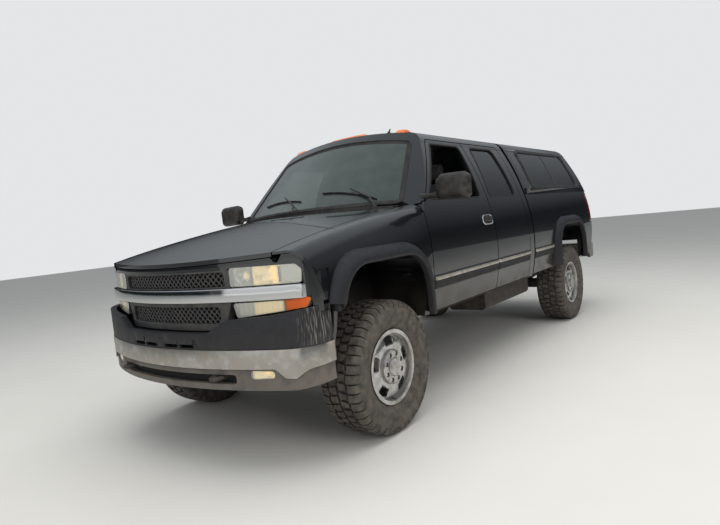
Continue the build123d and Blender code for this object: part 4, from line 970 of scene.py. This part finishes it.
CUSHION = [(1085, 880), (1085, 985), (1130, 1035), (1520, 1020), (1590, 1030), (1590, 880)]
BACK = [(1565, 985), (1510, 1045), (1560, 1300), (1640, 1630), (1690, 1650), (1738, 1630), (1725, 1300),
        (1702, 985)]
HEADREST = [(1655, 1640), (1645, 1770), (1680, 1792), (1740, 1786), (1752, 1720), (1745, 1640)]
CUSHION_SEAM = 1380 - MIDDLE * 1000
stuffed("front_cushion_left", CUSHION, 135, 665, 22, 20, 15,
        [(0, 265, 6, 8), (0, 535, 6, 8), (1, CUSHION_SEAM, 6, 7)], "front_cushion_right")
stuffed("front_backrest_left", BACK, 150, 650, 22, 20, 15,
        [(0, 275, 6, 8), (0, 525, 6, 8), (2, 1400, 6, 7)], "front_backrest_right")
stuffed("front_headrest_left", HEADREST, 270, 530, 16, 14, 10, [(2, 1712, 5, 3)], "front_headrest_right")
BENCH = [(2025, 860), (2015, 1000), (2060, 1045), (2240, 1045), (2310, 1050), (2310, 860)]
BENCH_BACK = [(2310, 1040), (2270, 1070), (2362, 1545), (2400, 1562), (2440, 1550), (2440, 1040)]
BENCH_SEAMS = [(0, -270, 7, 9), (0, 270, 7, 9)]
stuffed("rear_bench_cushion", BENCH, -800, 800, 22, 20, 18, BENCH_SEAMS)
stuffed("rear_bench_backrest", BENCH_BACK, -800, 800, 22, 20, 18, BENCH_SEAMS + [(2, 1300, 7, 7)])

SEAT_X = 400
SEAT_BASE = [
    # (x from, x to, aft from, aft to, z from, z to, corner) of the box, its two valances and its two rails
    (-200, 200, 1140, 1560, 735, 868, 16), (-232, -200, 1100, 1640, 820, 900, 16),
    (200, 232, 1100, 1640, 820, 900, 16), (-188, -152, 1120, 1590, 721, 737, 5),
    (152, 188, 1120, 1590, 721, 737, 5),
]
for side, sign in SIDES:
    heap = Heap()
    for low_x, high_x, y0, y1, z0, z1, corner in SEAT_BASE:
        line = rounded([(y0, z0), (y0, z1), (y1, z1), (y1, z0)], corner)
        rows = [[at(sign * SEAT_X + x, p.x, p.y) for p in line] for x in (low_x, high_x)]
        heap.rows(rows, close_ring=True, caps=True)
    for x in (-50, 50):
        post = [at(sign * SEAT_X + x, 1690, 1600), at(sign * SEAT_X + x, 1700, 1700)]
        heap.tube(post, 6, 8, pick=1)
    heap.done(f"front_seat_base_{side}", [CABIN, CHROME], "truck_body",
              [f"seat_front_{side}"], bevel=4)
heap = Heap()
line = rounded([(2030, 722), (2030, 868), (2440, 1046), (2440, 722)], 14)
heap.rows([[at(x, p.x, p.y) for p in line] for x in (-780, -260, 260, 780)], close_ring=True, caps=True)
heap.done("rear_seat_base", CABIN, "truck_body", ["seat_rear"], bevel=5)


# Grille: the solid's surround with its two openings, filled with a diamond lattice of wire over a near-black
# sheet of painted shade

GRILLE_SIDES = [(-532, 1140), (532, 1140), (532, 985), (468, 804), (-468, 804), (-532, 985)]
BAR_LOW, BAR_HIGH = 962, 1040
MESHES = [
    # (foot and top of the opening, half its width, top and foot of the surround round it)
    (1048, 1128, 492, 1141, BAR_HIGH + 0.5), (842, 936, 440, BAR_LOW - 0.5, 803),
]
WIRE_PITCH, WIRE_R, WIRE_BEHIND, WIRE_WEAVE = 38.0, 3.1, 26, 2.2
PAIRED_POINTS = 180


def band(outline, top, foot):
    """The stretch of an outline between two heights."""
    bm = bmesh.new()
    bm.faces.new([bm.verts.new((p.x, p.y, 0)) for p in outline])
    for z, keep in ((top, -1), (foot, 1)):
        bmesh.ops.bisect_plane(bm, geom=bm.verts[:] + bm.edges[:] + bm.faces[:], plane_co=(0, z, 0),
                               plane_no=(0, -keep, 0), clear_outer=True)
    line = [Vector((v.co.x, v.co.y)) for v in bm.faces[:][0].verts]
    bm.free()
    return line


def spread(shape):
    """An outline as points at even distances from its right-hand end, so that two outlines pair up."""
    if signed_area(shape) < 0:
        shape = shape[::-1]
    lengths = [0.0]
    for p, q in zip(shape, shape[1:] + shape[:1]):
        lengths.append(lengths[-1] + (q - p).length)
    begin = max(range(len(shape)), key=lambda i: shape[i].x * 10 + shape[i].y)
    out = []
    for k in range(PAIRED_POINTS):
        want = (lengths[begin] + lengths[-1] * k / PAIRED_POINTS) % lengths[-1]
        i = max(j for j in range(len(shape)) if lengths[j] <= want)
        share = (want - lengths[i]) / max(lengths[i + 1] - lengths[i], 1e-9)
        out.append(shape[i].lerp(shape[(i + 1) % len(shape)], share))
    return out


def stretch_inside(x0, x1, half):
    """The shares of a slanted run from x0 to x1 at which it enters and leaves the opening."""
    enter, leave = 0.0, 1.0
    for edge in (-half, half):
        cross = (edge - x0) / (x1 - x0)
        if 0 < cross < 1:
            if (x1 > x0) == (edge > 0):
                leave = min(leave, cross)
            else:
                enter = max(enter, cross)
        elif (edge < 0 and max(x0, x1) < edge) or (edge > 0 and min(x0, x1) > edge):
            leave = enter
    return enter, leave


def lattice(heap, low, high, half):
    """Wires leaning both ways across one opening, woven over and under."""
    lean_x = (high - low) * 0.5
    last = int(half / WIRE_PITCH) + 3
    for k in range(-last, last + 1):
        for lean in (1, -1):
            x0, x1 = k * WIRE_PITCH - lean * lean_x, k * WIRE_PITCH + lean * lean_x
            enter, leave = stretch_inside(x0, x1, half)
            if leave - enter < 0.03:
                continue
            path = []
            for i in range(5):
                share = enter + (leave - enter) * i / 4
                weave = WIRE_WEAVE if (i + k) % 2 else -WIRE_WEAVE
                path.append(nose_face(x0 + (x1 - x0) * share, low + (high - low) * share,
                                      WIRE_BEHIND + weave * lean))
            heap.tube(path, WIRE_R, 6, pick=1)


heap = Heap()
outer = dense(rounded(GRILLE_SIDES, [14, 14, 60, 24, 24, 60]), 24)
for low, high, half, top, foot in MESHES:
    hole = dense(rounded([(-half, low), (half, low), (half, high), (-half, high)], 16), 24)
    pairs = list(zip(spread(band(outer, top, foot)), spread(hole)))
    rows = []
    for share, off in ((0, 48), (0, 5), (0.06, 2.5), (0.90, 2.5), (1.0, 6), (1.0, 48)):
        rows.append([nose_face(p.x + (q.x - p.x) * share, p.y + (q.y - p.y) * share, off) for p, q in pairs])
    heap.rows(rows, close_rows=True, close_ring=True)
    lattice(heap, low, high, half)
    # Painted shade: a near-black sheet across each opening behind the wire, standing for the dark bay.
    heap.rows([[nose_face(half * (k / 12 - 1), z, 47) for k in range(25)]
               for z in (low, (low + high) / 2, high)], pick=2)
heap.done("mesh_grille", [GRILLE_GREY, WIRE, SHADE_BLACK], "truck_body", ["grille"], smooth=30)


# The cowl cover between the hood's rear edge and the windscreen

heap = Heap()
rows = []
for share in (0.0, 0.25, 0.5, 0.75, 1.0):
    row = []
    for k in range(-22, 23):
        x = k * 36.0
        front = hood_back(x) + 9
        sag = SCREEN_R - math.sqrt(SCREEN_R ** 2 - x * x)
        back = max(front + 12, SCREEN_BASE + 14 + sag * 1.25)
        z = 1446 - (x / 852.0) ** 2 * 31 - 6 * math.sin(math.pi * share)
        row.append(at(x, front + (back - front) * share, z))
    rows.append(row)
underside = [[p - Vector((0, 0, 0.012)) for p in row] for row in rows[::-1]]
heap.rows(rows + underside, close_rows=True)
heap.done("cowl_cover", BLACK_PLASTIC, "truck_body")


# Amber lamps: two side lamps in the nose and three low marker lamps on the roof

AMBER_LINE = [(832.5, 900), (832.5, 957), (964, 968), (942, 912)]
ROOF_FRONT = 1010
ROOF_LAMPS = ((-550, 78), (0, 390), (550, 78))  # (x, width)
ROOF_LAMP_HUMP = ((1004, -6), (1010, 12), (1026, 22), (1050, 27), (1082, 25), (1106, 14), (1120, -6))
HALF_ENDS = ((0.2, 1), (0.42, 0.95), (0.48, 0.6), (0.5, 0.15))  # (share of the width, share of the height)


def amber_shape(x, z):
    """Depth of the fluted amber reflector."""
    return 12 + 3 * math.sin(x / 5.0) ** 2


def roof_z(x, aft):
    """Height of the roof in millimetres."""
    hit, place, _, _ = NODES["cab_shell"].ray_cast(at(x, aft, 2400), Vector((0, 0, -1)))
    return place.z * 1000 if hit else 2030.0


heap = Heap()
for sign in (1, -1):
    nose_lamp(heap, sign, dense(rounded(AMBER_LINE, [1, 1, 12, 14]), 40), nose_aft, 44, amber_shape)
for middle, width in ROOF_LAMPS:
    rows = []
    for share, size in [(-s, high) for s, high in HALF_ENDS[::-1]] + [(0, 1)] + list(HALF_ENDS):
        x = middle + width * share
        rows.append([at(x, aft, roof_z(x, max(aft, ROOF_FRONT)) + high * size)
                     for aft, high in ROOF_LAMP_HUMP])
    heap.rows(rows, caps=True, pick=3)
heap.done("amber_lamp_units", [AMBER_CLEAR, AMBER_BACK, LAMP_WALL, AMBER_LENS], "truck_body",
          ["amber_lamps"], smooth=40)


# The antenna's foot and stub on the roof

STUB_X, STUB_AFT = 425, 1040
foot = roof_z(STUB_X, STUB_AFT)
heap = Heap()
stub = [at(STUB_X, aft, foot + z) for aft, z in ((1036, -3), (1036, 6), (1040, 14), (1052, 30), (1060, 40))]
heap.tube(stub, [17, 16, 9, 6, 4], 14)
heap.done("roof_antenna_stub", BLACK_PLASTIC, "truck_body")


# Mirrors: a tapered shell on a short arm, in the solid's place

MIRROR_LINE = [(1034, 1424), (1030, 1560), (1078, 1602), (1250, 1598), (1288, 1566), (1284, 1440),
               (1262, 1420)]
MIRROR_SHELL = [
    # (size about the middle, aft place) from the glass forwards
    (0.90, 676), (0.92, 680), (0.97, 680), (1.0, 674), (1.0, 655), (0.97, 634), (0.90, 616), (0.76, 603),
    (0.5, 597), (0.2, 596),
]
MIRROR_ARM = [
    # (x, aft from, aft to, z from, z to) from the door out to the shell
    (908, 618, 700, 1444, 1486), (950, 622, 694, 1446, 1480), (1000, 626, 688, 1448, 1478),
    (1048, 628, 680, 1440, 1490),
]
for side, sign in SIDES:
    heap = Heap()
    line = dense(rounded(MIRROR_LINE, [34, 40, 40, 36, 34, 20, 20]), 30)
    rows = []
    for size, aft in MIRROR_SHELL:
        sized = [MIRROR_MIDDLE + (p - MIRROR_MIDDLE) * size for p in line]
        rows.append([at(sign * p.x, aft, p.y) for p in sized])
    heap.rows(rows, close_ring=True, caps=True)
    rows = []
    for x, y0, y1, z0, z1 in MIRROR_ARM:
        section = rounded([(y0, z0), (y0, z1), (y1, z1), (y1, z0)], 11)
        rows.append([at(sign * x, p.x, p.y) for p in section])
    heap.rows(rows, close_ring=True, caps=True)
    heap.done(f"mirror_shell_{side}", BLACK_PLASTIC, f"door_front_{side}", [f"mirror_{side}"],
              smooth=45)


# Header panel: painted, between the hood's lip, the fenders' corners, the lamps and the grille

HOOD_HALF, HOOD_CORNER = 842, 800
FENDER_EDGE = 905


def hood_under(x):
    """Lowest height of the hood's underside over the nose at x, in millimetres."""
    lows = []
    for off in (4, 14, 26, 38, 50):
        hit, place, _, _ = NODES["hood"].ray_cast(at(x, nose_aft(x, off), 1000), Vector((0, 0, 1)))
        if hit:
            lows.append(place.z * 1000)
    return min(lows, default=1165)


def panel_top(x):
    """Where the painted nose panel meets the hood's lip or, further out, the fender's skin."""
    if abs(x) < HOOD_HALF:
        return hood_under(max(-HOOD_CORNER, min(HOOD_CORNER, x))) - 6
    hit, place, _, _ = NODES["front_fenders"].ray_cast(at(x, nose_aft(x, 8), 1060), Vector((0, 0, 1)))
    if hit:
        return min(place.z * 1000 + 4, 1200)
    return hood_under(math.copysign(HOOD_CORNER, x)) - 6 if abs(x) < FENDER_EDGE else 1100.0


def panel_foot(x):
    """The panel's lower edge: above the grille, over the headlamp, and down beside the lamps."""
    x = abs(x)
    if x < 532:
        return 1139.0
    if x < 906:
        return 1146.5
    if x < 936:
        return 1146.5 - (x - 906) * 1.05
    return 969.0 if x < 966 else 880.0


heap = Heap()
xs = [k * 19.0 for k in range(44)] + [842.5 + 6.5 * k for k in range(24)]
xs = [-x for x in xs[:0:-1]] + xs
rows = []
for off, share in ((44, 1), (14, 1), (3, 1), (2, 0.85), (2, 0.5), (2, 0), (14, 0), (44, 0)):
    rows.append([nose_face(x, panel_foot(x) + max(panel_top(x) - panel_foot(x), 0) * share, off) for x in xs])
heap.rows(rows, close_rows=True)
heap.done("nose_header_panel", PAINT, "truck_body")


# Handles of the tailgate and the hatch, and the tail lamps' white panes

GATE_REAR = 4560.5
HATCH_FOOT, HATCH_FOOT_Z = 4595.5, 1450
HATCH_LEAN = 0.2577  # how far it leans forward per height
HATCH_BUTTON = ((27, -1), (27, 4), (22, 7), (9, 7), (9, 20))  # (radius, off the hatch)
HATCH_LEVER = ((2, 14), (0, 17), (0, 24), (3, 27))  # (inwards, off the hatch)


def gate_face(u, v, off):
    """A point off millimetres behind the tailgate."""
    return at(u, GATE_REAR + off, v)


def hatch_face(u, v, off):
    """A point off millimetres out from the leaning hatch."""
    return at(u, HATCH_FOOT - (v - HATCH_FOOT_Z) * HATCH_LEAN + off * 0.968, v + off * 0.25)


heap = Heap()
bezel = dense(rounded([(-98, 1262), (-98, 1350), (98, 1350), (98, 1262)], 22), 20)
ring(heap, bezel, gate_face, [(-3, -1), (-1, 5), (6, 7), (10, 4), (12, -1)], pick=0)
points, faces = patch(inset(bezel, 10), lambda u, v: gate_face(u, v, 0.8), 60)
heap.add(points, faces, 0)
pull = rounded([(-80, 1290), (-80, 1336), (80, 1336), (80, 1290)], 12)
rows = [[gate_face(p.x, p.y, off) for p in inset(pull, amount)] for amount, off in ((0, 1), (0, 11), (6, 16))]
heap.rows(rows, close_ring=True, caps=True)
heap.done("tailgate_handle", BLACK_PLASTIC, "tailgate")


heap = Heap()
turns = [math.pi * 2 * k / 24 for k in range(24)]
for u in (-430, 430):
    rows = [[hatch_face(u + r * math.cos(t), 1484 + r * math.sin(t), off) for t in turns]
            for r, off in HATCH_BUTTON]
    heap.rows(rows, close_ring=True, caps=True)
    lever = rounded([(u - 46, 1476), (u - 46, 1492), (u + 46, 1492), (u + 46, 1476)], 7)
    rows = [[hatch_face(p.x, p.y, off) for p in inset(lever, amount)] for amount, off in HATCH_LEVER]
    heap.rows(rows, close_ring=True, caps=True)
heap.done("hatch_handles", [BLACK_PLASTIC], "hatch")

heap = Heap()
for sign in (1, -1):
    for low, high, pick in ((1172, 1176, 1), (1262, 1266, 1), (1180, 1258, 0)):
        corner, crown = (1.5, 1) if pick else (8, 4)
        line = rounded([(884, low), (884, high), (990, high), (990, low)], corner)
        rows = [[gate_face(sign * p.x, p.y, off) for p in inset(line, amount)]
                for amount, off in ((0, -1), (0, 2), (crown, 3))]
        heap.rows(rows, close_ring=True, caps=True, pick=pick)
heap.done("tail_lamp_panes", [REVERSE_LENS, BLACK_PLASTIC], "truck_body")


# Rounded edges on the solids that stay in view

for node, width in (("bumper_cap", 5), ("grille_bar", 7), ("bumper_chrome", 4), ("bumper_valance", 5),
                    ("rear_bumper", 5), ("tail_lamps", 3), ("hatch", 3), ("canopy", 3)):
    join = NODES[node].modifiers.new("joined", "WELD")
    join.merge_threshold = 0.00005
    edge = NODES[node].modifiers.new("rounded_edges", "BEVEL")
    edge.width, edge.segments, edge.limit_method = width / 1000, 3, "ANGLE"
    edge.angle_limit = math.radians(50)
    edge.harden_normals = True


# Wheel flares: a sloped band with a rounded lip round each opening, in the solid's place

ARCH_TOP, ARCH_FOOT, ARCH_HALF, ARCH_CORNER = 1112.0, 400, 490.0, 250.0
FLARE_FACE_X, FLARE_WIDTH, PLAIN_SKIN_X = 1060, 64, 1003
FLARE_ENDS = [
    # (axle, arch middle, height of its front end, of its back end)
    ("front", -20, 932, 664), ("rear", 3645, 664, 664),
]
SKINS = {"front": ("front_fenders",), "rear": ("bed", "cab_shell")}


def skin_x(nodes, aft, z, spare):
    """Outer x, in millimetres, of the left body skin, or a spare value where there is none."""
    best = 0.0
    for name in nodes:
        hit, place, _, _ = NODES[name].ray_cast(at(1400, aft, z), Vector((-1, 0, 0)))
        if hit:
            best = max(best, place.x * 1000)
    return best if best > 900 else spare


def arch_line(centre, low_front, low_back):
    """The opening as an open line of (aft, height), from the front leg over the top to the back leg."""
    def leg(a, b, z):
        return Vector((a[0] + (b[0] - a[0]) * (z - a[1]) / (b[1] - a[1]), z))
    front, back = centre - ARCH_HALF, centre + ARCH_HALF
    front_foot, front_top = (front, ARCH_FOOT), (front + 24, ARCH_TOP)
    back_top, back_foot = (back - 40, ARCH_TOP), (back, ARCH_FOOT)
    corners = [front_foot, front_top, back_top, back_foot]
    bow = rounded(corners, [0, ARCH_CORNER, ARCH_CORNER, 0], 14)[1:-1]
    line = [leg(front_foot, front_top, low_front)] + bow + [leg(back_foot, back_top, low_back)]
    out = []
    for p, q in zip(line, line[1:]):
        steps = max(1, math.ceil((q - p).length / 40))
        out += [p.lerp(q, k / steps) for k in range(steps)]
    return out + [line[-1]]


FLARE_SECTION = [
    # (out from the opening's edge, share of the way from body skin to the flare's face, millimetres added)
    (64, 0, -3), (62, 0.06, 3), (54, 0.30, 4), (40, 0.60, 3), (22, 0.84, 2), (4, 0.96, 1), (-12, 1, 0),
    (-21, 1, -4), (-25, 1, -14), (-25, 1, -46), (-19, 1, -46), (-14, 1, -20), (0, 0.6, 0), (20, 0.2, 0),
    (60, 0, -4),
]
heap = Heap()
for end, centre, low_front, low_back in FLARE_ENDS:
    line = arch_line(centre, low_front, low_back)
    normals = []
    for i, p in enumerate(line):
        run = (line[min(i + 1, len(line) - 1)] - line[max(i - 1, 0)]).normalized()
        normals.append(Vector((-run.y, run.x)))
    rows = []
    for i, (p, n) in enumerate(zip(line, normals)):
        outer = p + n * FLARE_WIDTH
        skin = skin_x(SKINS[end], outer.x, outer.y, PLAIN_SKIN_X)
        taper = min(1.0, 0.45 + i / 7.0) if end == "front" else 1.0
        row = []
        for t, share, more in FLARE_SECTION:
            q = p + n * t
            row.append((skin + (FLARE_FACE_X - skin) * share * taper + more, q.x, q.y))
        rows.append(row)
    for sign in (1, -1):
        heap.rows([[at(sign * x, aft, z) for x, aft, z in row] for row in rows], close_ring=True, caps=True)
heap.done("rounded_wheel_flares", FLARE_PLASTIC, "truck_body", ["wheel_flares"], smooth=40)


# Cast spokes over each rim's face, with small windows near the rim

SPOKES = 5
WINDOW_IN, WINDOW_OUT = 133, 193
RING_STEPS, SPOKE_STEPS = 90, 24
RINGS = [(106, 103), (114, 104), (124, 104), (133, 103.5)]
WINDOW_RINGS = [(133, 103.5), (142, 103), (152, 102), (164, 99.5), (176, 96.5), (186, 93.5), (193, 91)]
EDGE_RINGS = [(193, 91), (199, 89), (206, 88.5), (209, 84)]


def window_half(r, corner=9.0):
    """Half the width of a window at radius r, with rounded corners."""
    half = 36 + 12 * (r - WINDOW_IN) / (WINDOW_OUT - WINDOW_IN)
    end = min(r - WINDOW_IN, WINDOW_OUT - r)
    return half * math.sqrt(max(0.0, 1 - max(0, 1 - end / corner) ** 2))


def spoke_x(r):
    """How far out the spokes' faces stand at radius r."""
    for (r0, x0), (r1, x1) in zip(WINDOW_RINGS, WINDOW_RINGS[1:]):
        if r0 <= r <= r1 + 1e-6:
            return x0 + (x1 - x0) * (r - r0) / (r1 - r0)


for end in ("front", "rear"):
    for side, sign in SIDES:
        hub = hub_place(end, sign)
        heap = Heap()
        turns = [2 * math.pi * k / RING_STEPS for k in range(RING_STEPS)]
        for rings in (RINGS, EDGE_RINGS):
            rows = [[hub + wheel_point(sign * x, r, a) for a in turns] for r, x in rings]
            heap.rows(rows, close_ring=True)
        for i in range(SPOKES):
            rows = []
            for k in range(SPOKE_STEPS + 1):
                r = WINDOW_IN + (WINDOW_OUT - WINDOW_IN) * k / SPOKE_STEPS
                x = spoke_x(r)
                half_angle = math.asin(min(1, window_half(r) / r))
                a0 = 2 * math.pi * i / SPOKES + half_angle
                a1 = 2 * math.pi * (i + 1) / SPOKES - half_angle
                edge = min(0.3, 5.0 / r / max(a1 - a0, 1e-6))
                fade = math.sin(math.pi * k / SPOKE_STEPS)
                shares = [(0, -17), (0, -3.5 * fade), (edge * 0.4, -0.8 * fade), (edge, 0)]
                shares += [(edge + (1 - 2 * edge) * j / 10, 2.6 * fade * math.sin(math.pi * j / 10))
                           for j in range(1, 10)]
                shares += [(1 - edge, 0), (1 - edge * 0.4, -0.8 * fade), (1, -3.5 * fade), (1, -17)]
                rows.append([hub + wheel_point(sign * (x + more), r, a0 + (a1 - a0) * s)
                             for s, more in shares])
            heap.rows(rows)
        heap.done(f"cast_spokes_{end}_{side}", SPOKE_ALLOY, f"wheel_{end}_{side}", smooth=40)


# Privacy panes over the canopy's side openings, just outside their clear solids

for side, sign in SIDES:
    line = dense(rounded(*CANOPY_WINDOW), 60)
    heap = Heap()
    for off in (-7.0, -5.0):
        points, faces = patch(inset(line, 3), lambda u, v: side_point(u, v, off, sign > 0), 45, (1,))
        heap.add(points, faces)
    heap.done(f"canopy_panes_{side}", DARK_GLASS, "truck_body")


# A near-black sheet behind the bumper, painted shade, so that its mouth and slots look onto a shaded bay

SHADE_SHEET = ((50, 510), (49, 600), (49, 690), (52, 748), (55, 748), (53, 690), (53, 600), (54, 510))
heap = Heap()
rows = []
for off, z in SHADE_SHEET:
    rows.append([at(k * 30.0, bumper_aft(k * 30.0, off), z) for k in range(-21, 22)])
heap.rows(rows, close_rows=True)
# Painted shade: this near-black sheet stands for the dark bay behind the bumper.
heap.done("lower_shade_sheet", SHADE_BLACK, "truck_body")


# Light, floor and camera

def softbox(name, place, aim, watts, size):
    """A white rectangular lamp, aimed at a point."""
    data = bpy.data.lights.new(name, "AREA")
    data.energy = watts
    data.shape = "RECTANGLE"
    data.size, data.size_y = size
    obj = bpy.data.objects.new(name, data)
    bpy.context.scene.collection.objects.link(obj)
    obj.location = place
    obj.rotation_euler = (Vector(aim) - Vector(place)).to_track_quat("-Z", "Y").to_euler()
    return obj


top_light = softbox("overhead_softbox", (1.0, -1.0, 7.5), (0, 0, 0), 620, (9, 9))
top_light.visible_glossy = False
side_light = softbox("left_softbox", (8.5, -3.0, 3.6), (0, 0, 0.9), 260, (5, 4))
side_light.visible_glossy = False
softbox("front_softbox", (1.5, -10.5, 3.4), (0, -1.5, 0.9), 235, (12, 8))

world = bpy.data.worlds.new("pale_studio")
bpy.context.scene.world = world
world.use_nodes = True
tree = world.node_tree
back = tree.nodes["Background"]
towards = add(tree, "TexCoord").outputs["Generated"]
height = add(tree, "SeparateXYZ", None, {"Vector": towards}).outputs["Z"]
tree.links.new(mix(tree, ramp(tree, height, 0.10, 0.62), "#23282c", "#dfe6ec"), back.inputs["Color"])
back.inputs["Strength"].default_value = 0.75
bright = add(tree, "Background", {"Color": linear("#e9ebec"), "Strength": 0.95}).outputs[0]
path = add(tree, "LightPath").outputs
seen = add(tree, "Math", {"operation": "MAXIMUM"}, {0: path["Is Camera Ray"], 1: path["Is Transmission Ray"]})
chosen = add(tree, "MixShader", None, {0: seen.outputs[0], 1: back.outputs[0], 2: bright}).outputs[0]
tree.links.new(chosen, tree.nodes["World Output"].inputs["Surface"])

mesh = bpy.data.meshes.new("studio_floor")
FLOOR_HALF = 40.0
corners = [(FLOOR_HALF * x, FLOOR_HALF * y, 0) for x, y in ((-1, -1), (1, -1), (1, 1), (-1, 1))]
mesh.from_pydata(corners, [], [(0, 1, 2, 3)])
floor = bpy.data.objects.new("studio_floor", mesh)
bpy.context.scene.collection.objects.link(floor)
mat, tree, shader = material("matt_studio_floor", Roughness=0.9)
tree.links.new(mix(tree, noise(tree, 900), "#cfccc6", "#c8c5be"), shader.inputs["Base Color"])
mesh.materials.append(mat)
floor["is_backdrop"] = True

# The camera stands where the photograph's did, worked out from the wheels and edges in it
CAMERA_PLACE = (2.923, -2.727 - MIDDLE, 1.311)
SENSOR_MM, PHOTO_WIDTH_PX, FOCAL_PX = 36, 720, 547.7
YAW, PITCH, ROLL = math.radians(37.9), math.radians(-3.93), math.radians(-5.85)
forward = Vector((-math.sin(YAW) * math.cos(PITCH), math.cos(YAW) * math.cos(PITCH), math.sin(PITCH)))
right = Vector((math.cos(YAW), math.sin(YAW), 0))
up = right.cross(forward)
right_r = right * math.cos(ROLL) + up * math.sin(ROLL)
up_r = up * math.cos(ROLL) - right * math.sin(ROLL)
camera_data = bpy.data.cameras.new("photo_camera")
camera_data.lens = SENSOR_MM * FOCAL_PX / PHOTO_WIDTH_PX
camera = bpy.data.objects.new("photo_camera", camera_data)
bpy.context.scene.collection.objects.link(camera)
turned = Matrix((right_r, up_r, -forward)).transposed().to_4x4()
camera.matrix_world = Matrix.Translation(CAMERA_PLACE) @ turned
bpy.context.scene.camera = camera
bpy.context.scene.view_settings.view_transform = "Standard"

size = {"cad": [list(v) for v in cad_box], "visual": [list(v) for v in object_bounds()]}
